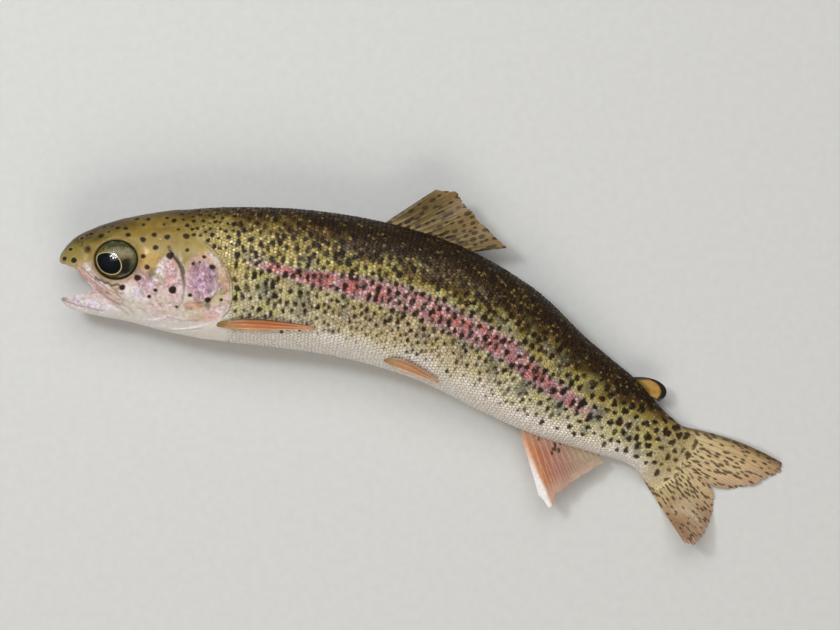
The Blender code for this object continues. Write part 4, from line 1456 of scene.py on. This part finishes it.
def make_tail_fin(material):
    """Two lobes from under the end of the flesh, on the ground. The lower lobe's tip curls up."""
    root = STANDARD_LENGTH + 0.3
    back, up = directions(root)
    upper_lobe, lower_lobe, fork, fork_place = 30.6, 23.6, 12.2, 0.46
    rays, rooted = 22, 2.5

    def lengths(across):
        upper_share = np.maximum(fork_place - across, 0) / fork_place
        lower_share = np.maximum(across - fork_place, 0) / (1 - fork_place)
        upper = fork + (upper_lobe - fork) * upper_share**0.56
        lower = fork + (lower_lobe - fork) * lower_share**0.35
        reach = np.where(across < fork_place, upper, lower) - 1.2 * ease(0.75, 0.92, across)
        reach = reach - 3.4 * ease(0.9, 1.0, across) ** 1.5 - 2.6 * ease(0.08, 0.0, across)
        return reach * frayed(across, rays, 13, 0.03)

    front = spot(root, back_height(root) - 0.5)
    rear = spot(root, -belly_depth(root) + 0.5)
    flat = fan(front, rear, back, up, lambda across: blend(23.5, -19.5, across), lengths, rooted=rooted)

    def middle(down, across):
        place = flat(down, across) - back * (3.0 * (2 * across - 1) ** 2 * (1 - down) ** 2)[..., None]
        gone = (lengths(across) + rooted) * down - rooted
        lying = middle_height(root + np.minimum(gone, 10.0))
        curl = 8.5 * ease(0.6, 0.95, across) * ease(0.5, 1.1, down)
        ripple = 0.35 * (1 + np.sin(2 * pi * (across * 4.0 + 0.4 * down))) * ease(0.3, 1.0, down)
        bow = 1.9 * np.sin(pi * np.minimum(down, 1.0)) * ease(0.3, 0.0, across)
        place = place + bow[..., None] * up
        place[..., 2] = lying + curl + ripple
        return place

    def spots(places, down, across):
        inside = np.full(len(places), -1.0)
        for seed, low, high, turn in ((31, 0.0, fork_place, 13.0), (32, fork_place, 1.0, -11.0)):
            here = (across >= low) & (across <= high)
            inside[here] = scattered(places[here], 130, seed, 0.29, 2.4, slanted(back, up, turn))
        return inside

    thick = thinning(0.4, 0.3, at_root=1.0)
    fin_sheet("tail_fin_rays", middle, rays, thick, material, ["tail_fin"], spots, rows=60)


# The folded fins of the chest and the belly: where each starts, its length and width, how far its tip
# leaves the belly, how far it stands off the flank, and its rays.
PairedFin = namedtuple("PairedFin", "start above length width spread lift rays")
PECTORAL_FIN = PairedFin(42.6, -14.1, 30.9, 3.2, 1.2, 0.3, 6)
PELVIC_FIN = PairedFin(95.4, -17.2, 20.6, 3.2, -0.4, 0.2, 5)


def make_paired_fin(name, side, material, fin):
    """A folded fin laid back along the belly: a narrow fan of rays, just off the skin."""

    def middle(down, across):
        taper = ease(-0.1, 0.36, down) * (1 - 0.72 * ease(0.45, 1.05, down))
        along = fin.start + fin.length * down * frayed(across, fin.rays, 14, 0.012)
        height = fin.above + fin.spread * down + (across - 0.5) * fin.width * taper
        fold = 0.22 * np.sin(across * fin.rays * pi) * ease(0.1, 0.5, down)
        out = flank_out(along, height) + behind_gill(along, height) + (fin.lift + 0.35) * down + fold
        out = out + blend(-1.2, 0.5, ease(0.03, 0.2, down))
        return spot(along, height, side * out)

    def thick(down, across):
        return thinning(0.36, 0.3)(down, across) * (1 - 0.4 * (2 * across - 1) ** 2)

    fin_sheet(f"{name}_rays", middle, fin.rays, thick, material, [name], rows=60, per_ray=10, ray_high=0.12)


# ---------------------------------------------------------------- finishes


def linear(code):
    """Scene-linear red, green, blue and alpha of an sRGB hex colour."""
    parts = [int(code[i : i + 2], 16) / 255 for i in (1, 3, 5)]
    return tuple(p / 12.92 if p <= 0.04045 else ((p + 0.055) / 1.055) ** 2.4 for p in parts) + (1.0,)


def feed(tree, node, inputs):
    """Gives inputs of a node their values and colours, or links sockets to them."""
    for key, value in inputs.items():
        if isinstance(value, bpy.types.NodeSocket):
            tree.links.new(value, node.inputs[key])
        else:
            node.inputs[key].default_value = linear(value) if isinstance(value, str) else value


def add_node(tree, kind, inputs=(), operation=None, stops=(), out=0, **settings):
    """Adds a node with its settings, what feeds its inputs, and colour stops for a ramp.

    Gives one of its outputs, or all of them where out is None."""
    made = tree.nodes.new("ShaderNode" + kind)
    if operation:
        made.operation = operation
    for key, value in settings.items():
        setattr(made, key, value)
    feed(tree, made, inputs if isinstance(inputs, dict) else dict(enumerate(inputs)))
    if stops:
        band = made.color_ramp
        while len(band.elements) < len(stops):
            band.elements.new(0.5)
        for element, (place, code) in zip(band.elements, stops):
            element.position = place
            element.color = linear(code)
    return made.outputs if out is None else made.outputs[out]


def new_finish(name, settings):
    """A material whose shader has these constant values, what adds its nodes, and what feeds its shader."""
    material = bpy.data.materials.new(name)
    material.use_nodes = True
    tree = material.node_tree
    shader = tree.nodes["Principled BSDF"]
    feed(tree, shader, settings)
    return material, partial(add_node, tree), partial(feed, tree, shader)


def readings_of(add, name):
    """The three values that a piece keeps at each of its points under one name."""
    return add("SeparateXYZ", [add("Attribute", attribute_name=name, out=1)], out=None)


def swayed(add, value, noise, much):
    """A value that a noise pushes up and down by this much in all."""
    return add("Math", [add("Math", [noise, -0.5], "ADD"), much, value], "MULTIPLY_ADD")


def laid_over(add, colour, layers):
    """Lays colours over a ground, each by its mask and by the share of it that covers."""
    for mask, share, over in layers:
        if share != 1:
            mask = add("Math", [mask, share], "MULTIPLY")
        colour = add("Mix", {0: mask, 6: colour, 7: over}, out=2, data_type="RGBA", clamp_factor=True)
    return colour


SOFT = {"interpolation_type": "SMOOTHSTEP"}
OBJECT_PLACE = 3  # the output of Texture Coordinate that gives the place on the piece

# The ground colours round the fish, from belly to back: behind the head, and on the head. The trunk's
# darkest back stops are partly its own dark olive and partly painted shadow.
TRUNK_COLOURS = [
    (0.0, "#e2dad0"), (0.16, "#dcd2c6"), (0.27, "#cfc4a4"), (0.37, "#cbbe8c"), (0.48, "#c2ae79"),
    (0.58, "#b8a35f"), (0.67, "#94803e"), (0.74, "#5c4519"), (0.82, "#281507"), (1.0, "#150a03"),
]
HEAD_COLOURS = [
    (0.0, "#ddd6ca"), (0.2, "#dad1c6"), (0.34, "#d6c6b8"), (0.46, "#c4a888"), (0.55, "#a18c4e"),
    (0.65, "#938042"), (0.76, "#7e6b2e"), (0.86, "#504011"), (1.0, "#332306"),
]
STRIPE_COLOURS = [
    (0.0, "#5e4450"), (0.25, "#b08ca0"), (0.42, "#c68892"), (0.58, "#cc7c7e"), (0.72, "#f4d2dc"),
    (0.86, "#b75c54"), (1.0, "#a8493e"),
]
COVER_COLOURS = [
    (0.33, "#655c7c"), (0.42, "#8c76a0"), (0.5, "#b98ba6"), (0.58, "#d7a6bc"), (0.68, "#f0d6e8")
]
ROSE_COLOURS = [(0.34, "#c08494"), (0.44, "#dfa2b2"), (0.56, "#f4c4d0"), (0.68, "#fce6ee")]
PEARL_AND_HIGHLIGHT_COLOURS = [(0.2, "#e2d8f2"), (0.5, "#f6ecf4"), (0.8, "#fbf4ea")]
GLINT_COLOURS = [(0.3, "#f2ece0"), (0.55, "#e9dcb8"), (0.78, "#bda765"), (1.0, "#6b5729")]
# The iris from its bottom to its top; the grey-green at its top is partly painted reflection.
IRIS_COLOURS = [
    (0.0, "#6b5222"), (0.2, "#46360f"), (0.4, "#544414"), (0.58, "#80681f"), (0.7, "#958662"),
    (0.8, "#564c22"), (0.92, "#4b4a30"), (1.0, "#6d7468"),
]


def wet_coat(name, scaly):
    """Live trout skin under a film of slime: what the eye gets is gold and olive ground with black spots,
    a rosy stripe, small glints painted into the colour of some scales, and one sharper wet highlight over
    them all."""
    material, add, feed_shader = new_finish(
        name,
        {
            "IOR": 1.36,
            "Specular IOR Level": 0.3 if scaly else 0.25,
            "Coat Weight": 0.2 if scaly else 0.28,
            "Coat Roughness": 0.08,
            "Coat IOR": 1.34,
            "Subsurface Weight": 0.0 if scaly else 0.05,
            "Subsurface Radius": (0.9 * MM, 0.5 * MM, 0.3 * MM),
        },
    )
    along, _, around = readings_of(add, "lie")
    spots, parr, stripe = readings_of(add, "marks")
    rose, gold, pearl_and_highlight = readings_of(add, "tints")
    warm, dark, eye_away = readings_of(add, "face")
    green, grey, violet = readings_of(add, "drift")
    chip = add("Attribute", attribute_name="chip", out=2)
    mouth = add("Attribute", attribute_name="mouth", out=2)
    place = add("TexCoord", out=OBJECT_PLACE)
    cloud = add("TexNoise", {"Vector": place, "Scale": 1 / (5.0 * MM), "Detail": 3.0})
    mottle, drifting = add(
        "TexNoise", {"Vector": place, "Scale": 1 / (2.0 * MM), "Detail": 4.0, "Roughness": 0.65}, out=None
    )
    grain = add("TexNoise", {"Vector": place, "Scale": 1 / (0.8 * MM), "Detail": 3.0, "Roughness": 0.7})

    # The ground goes over from the head's colours to the trunk's, and is flecked scale by scale.
    behind = add("MapRange", [along, 0.35, 0.47], **SOFT)
    tail_root = add("MapRange", [along, 1.78, 1.89], **SOFT)
    sides = add("MapRange", [around, 0.2, 0.38, 0.12, 1.0], **SOFT)
    fleck = add("Math", [chip, 0.35, grain], "MULTIPLY_ADD")
    fleck = add("MapRange", [fleck, 0.62, 0.5, 0.0, 0.34 if scaly else 0.0], **SOFT)
    layers = [
        (behind, 1, add("ValToRGB", [around], stops=TRUNK_COLOURS)),
        (green, 0.5, "#c6c070"),
        (grey, 0.45, "#9da08e"),
        (parr, 0.72, "#626b60"),
        (tail_root, 0.85, "#dfc996"),
    ]

    # The stripe: grey-lavender edges, then rose and silver scales, with red hearts. Its palest silver flecks
    # are painted glints.
    edge = add("MapRange", [stripe, 0.0, 0.3], **SOFT)
    wavering = swayed(add, stripe, mottle, 1.7)
    core = add("MapRange", [wavering, 0.24, 0.76], **SOFT)
    heart = add("MapRange", [wavering, 0.66, 1.0], **SOFT)
    red = add("MapRange", [cloud, 0.44, 0.6], **SOFT)
    mixed = add("Math", [chip, 0.5, mottle], "MULTIPLY_ADD")
    layers += [
        (edge, 0.55, "#ab9c9a"),
        (core, 0.82, add("ValToRGB", [add("MapRange", [mixed, 0.4, 1.1])], stops=STRIPE_COLOURS)),
        (add("Math", [heart, red], "MULTIPLY"), 0.55, "#cb5b50"),
    ]

    # The head's tints: gold behind the eye, rose and violet on the gill cover, a pale opal tint with painted
    # highlights on the cheek, and dark marks, partly painted shade in folds, grooves and the nostrils.
    patchy = add("MapRange", [mottle, 0.36, 0.6], **SOFT)
    patchy = add("Math", [patchy, 0.5, 0.45], "MULTIPLY_ADD")
    drifted = add("VectorMath", {0: drifting, 1: (2.4 * MM,) * 3, 2: place}, "MULTIPLY_ADD")
    flakes = add("TexVoronoi", {"Vector": drifted, "Scale": 1 / (0.9 * MM)}, out="Color")
    first, second, third = add("SeparateXYZ", [flakes], out=None)
    clouded = add("Math", [grain, 0.6, add("Math", [mottle, 0.4], "MULTIPLY")], "MULTIPLY_ADD")
    shimmer = swayed(add, clouded, first, 0.2)
    crisp = add("MapRange", [swayed(add, grain, second, 0.24), 0.36, 0.62, 0.3, 1.0], **SOFT)
    dusty = add("Math", [third, 0.3, mottle], "MULTIPLY_ADD")
    dusty = add("MapRange", [dusty, 0.66, 0.78, 0.0, 0.0 if scaly else 0.5], **SOFT)
    cheeks = add("MapRange", [around, 0.62, 0.5], **SOFT)
    cheeks = add("Math", [cheeks, add("MapRange", [around, 0.16, 0.32], **SOFT)], "MULTIPLY")
    on_head = add("MapRange", [along, 0.5, 0.45], **SOFT)
    layers += [
        (gold, patchy, "#c39a48"),
        (rose, patchy, add("ValToRGB", [shimmer], stops=ROSE_COLOURS)),
        (violet, 0.9, add("ValToRGB", [shimmer], stops=COVER_COLOURS)),
        (pearl_and_highlight, crisp, add("ValToRGB", [third], stops=PEARL_AND_HIGHLIGHT_COLOURS)),
        (add("Math", [green, on_head], "MULTIPLY"), 0.6, "#b4b08c"),
        (warm, patchy, "#c0794a"),
        (dusty, cheeks, "#857266"),
        (dark, 1, "#3f2917"),
    ]

    # A fold of golden-brown skin round the eye, and painted shade in a thin dark seam where the skin sinks
    # under the eye.
    layers += [
        (add("MapRange", [eye_away, 6.7, 5.9], **SOFT), 0.6, "#7a5c2c"),
        (add("MapRange", [eye_away, 5.62, 5.4], **SOFT), 0.6, "#473820"),
    ]

    # Dark spots, brown at their edges; a faint pale ring round those on the snout.
    edged = swayed(add, spots, grain, 0.55 if scaly else 0.2)
    brown = add("MapRange", [edged, -0.34, 0.12], **SOFT)
    ink = add("MapRange", [edged, -0.17, 0.25], **SOFT)
    near = add("MapRange", [spots, -0.5, -0.2], **SOFT)
    snout = add("MapRange", [along, 0.11, 0.05], **SOFT)
    layers += [
        (add("Math", [near, snout], "MULTIPLY"), 0.3, "#c4a970"),
        (fleck, sides, "#4a3c1c"),
        (brown, 0.72, "#46300b"),
        (ink, add("MapRange", [tail_root, 0.0, 1.0, 0.94, 0.6]), "#1d1004"),
    ]

    # Painted glints: some scales, and points of them, get a paler colour that stands in for the light they
    # throw back.
    glint = add("Math", [chip, 0.5, grain], "MULTIPLY_ADD")
    glint = add("MapRange", [glint, 0.9, 1.02, 0.0, 0.45 if scaly else 0.0], **SOFT)
    glint = add("Math", [glint, sides], "MULTIPLY")
    layers += [
        (glint, add("MapRange", [ink, 1.0, 0.2, 0.25, 1.0]), add("ValToRGB", [around], stops=GLINT_COLOURS)),
        (mouth, 1, "#b9958c"),
    ]

    colour = laid_over(add, add("ValToRGB", [around], stops=HEAD_COLOURS), layers)
    uneven = add("Math", [sides, 0.13 if scaly else 0.0, 0.08 if scaly else 0.0], "MULTIPLY_ADD")
    fine = add("Math", [grain, 0.36, 0.82], "MULTIPLY_ADD")
    tone = add("Math", [swayed(add, 0.97, chip, uneven), fine], "MULTIPLY")

    # Spots are matt and the silver parts shine.
    clear = add("MapRange", [spots, 0.2, -0.3], **SOFT)
    shine = add("Math", [chip, 0.22 if scaly else 0.0, 0.04], "MULTIPLY_ADD")
    matt = add("MapRange", [clear, 0.0, 1.0, 0.5, 0.22])
    height = add("TexNoise", {"Vector": place, "Scale": 1 / (0.45 * MM), "Detail": 3.0, "Roughness": 0.65})
    feed_shader({
        "Base Color": add("VectorMath", {0: colour, 3: tone}, "SCALE"),
        "Metallic": add("Math", [shine, clear], "MULTIPLY"),
        "Roughness": add("Math", [grain, 0.24, matt], "MULTIPLY_ADD"),
        "Normal": add("Bump", {"Strength": 0.35, "Distance": 0.05 * MM, "Height": height}),
    })
    return material


def fin_finish(
    name, across_colours, tip, rib_colour, root="#a08a5c", root_reach=0.52, dark_edge=0.0, pale_edge=0.0
):
    """Thin fin web over horny rays, wet: what the eye gets is a warm, half-clear sheet with fine lines
    that fork towards the edge, and a soft sheen along the rays."""
    material, add, feed_shader = new_finish(
        name,
        {
            "Roughness": 0.36,
            "IOR": 1.4,
            "Specular IOR Level": 0.35,
            "Coat Weight": 0.25,
            "Coat Roughness": 0.15,
            "Subsurface Weight": 0.08,
            "Subsurface Radius": (1.2 * MM, 0.6 * MM, 0.3 * MM),
        },
    )
    down, across, rib = readings_of(add, "fan")
    spots = add("Attribute", attribute_name="spots", out=2)
    place = add("TexCoord", out=OBJECT_PLACE)
    cloud = add("TexNoise", {"Vector": place, "Scale": 1 / (4.0 * MM), "Detail": 3.0})
    grain = add("TexNoise", {"Vector": place, "Scale": 1 / (0.7 * MM), "Detail": 3.0, "Roughness": 0.6})
    shifted = add("Math", [cloud, 0.14, across], "MULTIPLY_ADD")
    web = add("ValToRGB", [add("Math", [shifted, -0.07], "ADD")], stops=across_colours)
    uneven = add("Math", [cloud, 0.3, down], "MULTIPLY_ADD")
    ray = add("MapRange", [rib, 0.35, 0.9], **SOFT)
    ends = add("MapRange", [uneven, 0.85, 1.2], **SOFT)
    first = add("MapRange", [across, 0.07, 0.015], **SOFT)
    rooted = add("MapRange", [uneven, root_reach, 0.28], **SOFT)
    spotted = add("MapRange", [swayed(add, spots, grain, 0.3), -0.16, 0.12], **SOFT)
    leading = add("Math", [uneven, -0.08, across], "MULTIPLY_ADD")
    leading = add("MapRange", [leading, 0.035, -0.01], **SOFT)
    leading = add("Math", [leading, add("MapRange", [uneven, 0.42, 0.9], **SOFT)], "MULTIPLY")
    colour = laid_over(add, web, [
        (ends, 0.65, tip),
        (rooted, 0.8, root),
        (ray, 0.45, rib_colour),
        (first, dark_edge, "#4a3418"),
        (leading, pale_edge, "#f6f0ec"),
        (spotted, 0.85, "#33200f"),
    ])
    tone = add("Math", [grain, 0.5, 0.74], "MULTIPLY_ADD")
    joints = add("Math", [add("Math", [down, 190.0], "MULTIPLY")], "SINE")
    ridged = add("Math", [add("Math", [joints, ray], "MULTIPLY"), 0.35, grain], "MULTIPLY_ADD")
    feed_shader({
        "Base Color": add("VectorMath", {0: colour, 3: tone}, "SCALE"),
        "Normal": add("Bump", {"Strength": 0.3, "Distance": 0.06 * MM, "Height": ridged}),
    })
    return material


def adipose_finish():
    """A soft flap of fatty skin: painted amber for the light that comes through it, with a black rim."""
    material, add, feed_shader = new_finish(
        "adipose_flap", {"Roughness": 0.3, "IOR": 1.4, "Coat Weight": 0.4, "Coat Roughness": 0.1}
    )
    down, across, _ = readings_of(add, "fan")
    place = add("TexCoord", out=OBJECT_PLACE)
    cloud = add("TexNoise", {"Vector": place, "Scale": 1 / (2.0 * MM), "Detail": 3.0})
    wavy = add("Math", [cloud, 0.14, down], "MULTIPLY_ADD")
    rim = add("MapRange", [wavy, 0.84, 0.93], **SOFT)
    for low, high in ((0.2, 0.06), (0.9, 0.97)):
        rim = add("Math", [rim, add("MapRange", [across, low, high], **SOFT)], "MAXIMUM")
    flesh = add("ValToRGB", [cloud], stops=[(0.3, "#8f6a26"), (0.5, "#b48a42"), (0.7, "#a38a52")])
    root = add("MapRange", [down, 0.55, 0.3], **SOFT)
    feed_shader({"Base Color": laid_over(add, flesh, [(root, 0.8, "#45340f"), (rim, 1, "#1a1108")])})
    return material


def eye_finish():
    """A live eye under its clear dome: black lens, a thin pale gold ring, and an iris of worn brass that is
    golden olive in front, dark behind the pupil and grey-green above, that grey-green partly painted
    reflection."""
    material, add, feed_shader = new_finish("iris_and_lens", {"Roughness": 0.5, "Specular IOR Level": 0.06})
    x, y, edge = readings_of(add, "iris")
    place = add("TexCoord", out=OBJECT_PLACE)
    fleck = add("TexNoise", {"Vector": place, "Scale": 1 / (0.6 * MM), "Detail": 4.0, "Roughness": 0.7})
    cloud = add("TexNoise", {"Vector": place, "Scale": 1 / (1.8 * MM), "Detail": 3.0})
    height, forward = swayed(add, y, cloud, 4.0), swayed(add, x, cloud, 3.0)
    upright = add("ValToRGB", [add("MapRange", [height, -5.8, 5.8])], stops=IRIS_COLOURS)
    in_front = add("MapRange", [forward, -2.6, -4.6], **SOFT)
    behind = add("MapRange", [forward, 0.8, 2.2], **SOFT)
    lower = add("MapRange", [height, 1.6, -0.4], **SOFT)
    rear = add("MapRange", [forward, 3.6, 5.4], **SOFT)
    bottom = add("MapRange", [height, -3.4, -4.8], **SOFT)
    ring_in = add("MapRange", [edge, 0.02, 0.1], **SOFT)
    ring_out = add("MapRange", [edge, 0.34, 0.22], **SOFT)
    colour = laid_over(add, upright, [
        (in_front, 0.8, "#7d661f"),
        (add("Math", [behind, lower], "MULTIPLY"), 0.9, "#1b1710"),
        (rear, 0.6, "#7c7c5e"),
        (bottom, 0.8, "#6d5424"),
        (add("MapRange", [fleck, 0.48, 0.66], **SOFT), 0.6, "#17150c"),
        (add("Math", [ring_in, ring_out], "MULTIPLY"), 0.9, "#dccb9c"),
        (add("MapRange", [edge, 0.06, -0.02], **SOFT), 1, "#04060a"),
    ])
    feed_shader({"Base Color": colour, "Metallic": add("MapRange", [edge, 0.0, 0.1, 0.0, 0.15])})
    return material


def cornea_finish():
    """The clear dome of the eye: it is only seen by the light that it mirrors."""
    material, add, _ = new_finish("clear_cornea", {})
    tree = material.node_tree
    tree.nodes.remove(tree.nodes["Principled BSDF"])
    clear = add("BsdfTransparent", {"Color": "#f4f8f6"})
    gloss = add("BsdfGlossy", {"Color": "#ffffff", "Roughness": 0.03})
    mixed = add("MixShader", {0: add("Fresnel", {"IOR": 1.34}), 1: clear, 2: gloss})
    feed(tree, tree.nodes["Material Output"], {"Surface": mixed})
    return material


def tongue_finish():
    """Wet pale flesh: soft, slightly see-through pink."""
    material, add, feed_shader = new_finish(
        "tongue_flesh",
        {
            "Roughness": 0.35,
            "Coat Weight": 0.5,
            "Coat Roughness": 0.1,
            "Subsurface Weight": 0.2,
            "Subsurface Radius": (1.5 * MM, 0.7 * MM, 0.4 * MM),
        },
    )
    place = add("TexCoord", out=OBJECT_PLACE)
    cloud = add("TexNoise", {"Vector": place, "Scale": 1 / (1.4 * MM), "Detail": 3.0})
    pinks = [(0.3, "#b58a84"), (0.55, "#c9a39b"), (0.75, "#d8bcb2")]
    feed_shader({"Base Color": add("ValToRGB", [cloud], stops=pinks)})
    return material


def paper_finish():
    """Matt backdrop paper: an even pale grey with the faint cloud of its pulp."""
    material, add, feed_shader = new_finish(
        "matt_backdrop_paper", {"Roughness": 0.9, "Specular IOR Level": 0.1}
    )
    place = add("TexCoord", out=OBJECT_PLACE)
    pulp = add("TexNoise", {"Vector": place, "Scale": 1 / (2.5 * MM), "Detail": 3.0})
    feed_shader({"Base Color": add("ValToRGB", [pulp], stops=[(0.3, "#d2d1cd"), (0.7, "#d6d5d1")])})
    return material


# ---------------------------------------------------------------- studio

FLOOR_SIZE = 3.0  # metres
# Each lamp's name, place, aim and size in metres, power in watts, and colour.
LIGHTS = [
    ("soft_box_above_back", (-0.1, 0.6, 0.9), (0, 0, 0), (1.3, 0.7), 6.6, "#ffffff"),
    ("soft_box_front", (0.15, -0.85, 0.7), (0, 0, 0), (1.1, 0.6), 5.4, "#fff8ee"),
    ("small_window", (-0.34, 0.24, 0.55), (-0.05, 0, 0), (0.12, 0.12), 1.3, "#f2f7ff"),
]
SKY_COLOUR, SKY_STRENGTH = "#eef1f3", 0.24


def make_floor():
    """A wide sheet of plain paper under the fish."""
    bpy.ops.object.select_all(action="DESELECT")
    bpy.ops.mesh.primitive_plane_add(size=FLOOR_SIZE)
    floor = bpy.context.object
    floor.name = "floor"
    floor.data.materials.append(paper_finish())


def soft_light(name, place, aim, size, power, colour):
    """A flat soft lamp turned towards a place."""
    data = bpy.data.lights.new(name, "AREA")
    data.shape = "RECTANGLE"
    data.size, data.size_y = size
    data.energy = power
    data.color = linear(colour)[:3]
    light = new_object(name, data)
    light.location = place
    light.rotation_mode = "QUATERNION"
    light.rotation_quaternion = (Vector(aim) - Vector(place)).to_track_quat("-Z", "Y")


def make_studio():
    """The floor, the lamps and an even sky, with no grading of the colours."""
    make_floor()
    for settings in LIGHTS:
        soft_light(*settings)
    world = bpy.data.worlds.new("studio")
    world.use_nodes = True
    sky = world.node_tree.nodes["Background"]
    feed(world.node_tree, sky, {"Color": SKY_COLOUR, "Strength": SKY_STRENGTH})
    bpy.context.scene.world = world
    bpy.context.scene.view_settings.view_transform = "Standard"


CAMERA_AIM = (-1.7, 14.5)
CAMERA_ABOVE = 558.9  # over the fish's middle sheet


def make_camera():
    """A long lens straight above the fish."""
    data = bpy.data.cameras.new("camera")
    data.lens = 85.0
    data.sensor_width = 36.0
    camera = new_object("camera", data)
    camera.location = (CAMERA_AIM[0] * MM, CAMERA_AIM[1] * MM, (SPINE_HEIGHT + CAMERA_ABOVE) * MM)
    bpy.context.scene.camera = camera


# ---------------------------------------------------------------- the whole fish

FIN_FINISHES = {
    "dorsal_web": {
        "across_colours": [(0.0, "#5e4d22"), (0.5, "#7f6936"), (1.0, "#8a7644")],
        "tip": "#9d8052",
        "rib_colour": "#5d431f",
    },
    "anal_web": {
        "across_colours": [
            (0.0, "#e8b48c"), (0.07, "#c98656"), (0.16, "#ab6c4c"), (0.36, "#a4766a"), (0.6, "#a08670"),
            (1.0, "#aa9c80"),
        ],
        "tip": "#c9b2a0",
        "rib_colour": "#d0a88c",
        "root": "#b08c74",
        "pale_edge": 0.95,
    },
    "tail_web": {
        "across_colours": [
            (0.0, "#a88850"), (0.15, "#cfb184"), (0.5, "#cdb286"), (0.75, "#b39a74"), (1.0, "#a5805c")
        ],
        "tip": "#b08a74",
        "rib_colour": "#8f7450",
        "root": "#cdba88",
        "root_reach": 0.95,
        "dark_edge": 0.7,
    },
    "pectoral_web": {
        "across_colours": [(0.0, "#d79e6c"), (0.5, "#c87f4e"), (0.85, "#ad6a3c"), (1.0, "#4d2c14")],
        "tip": "#d6a078",
        "rib_colour": "#8d5730",
    },
    "pelvic_web": {
        "across_colours": [(0.0, "#e8d2bc"), (0.3, "#c8916a"), (1.0, "#b0825c")],
        "tip": "#d8b294",
        "rib_colour": "#9c6c48",
    },
}


def make_fish():
    """All pieces of the fish, with their finishes."""
    charts = {side: spot_chart(SEED + side) for side in (1, -1)}
    skin = wet_coat("slimed_trout_skin", scaly=False)
    scales = wet_coat("slimed_trout_scales", scaly=True)
    make_skin(charts, skin)
    eye, cornea = eye_finish(), cornea_finish()
    for side, word in SIDES:
        make_eye(side, word, eye, cornea)
        make_jaw_bone(side, word, charts, skin)
        for upper, part, seed in ((True, "upper", 51), (False, "lower", 52)):
            make_coat(f"scales_{word}_{part}", side, upper, charts, scales, SEED + 10 * side + seed)
    make_tongue(tongue_finish())
    webs = {name: fin_finish(name, **colours) for name, colours in FIN_FINISHES.items()}
    make_dorsal_fin(webs["dorsal_web"])
    make_anal_fin(webs["anal_web"])
    make_adipose_fin(adipose_finish())
    make_tail_fin(webs["tail_web"])
    for side, word in SIDES:
        make_paired_fin(f"pectoral_fin_{word}", side, webs["pectoral_web"], PECTORAL_FIN)
        make_paired_fin(f"pelvic_fin_{word}", side, webs["pelvic_web"], PELVIC_FIN)


make_camera()
make_fish()
make_studio()
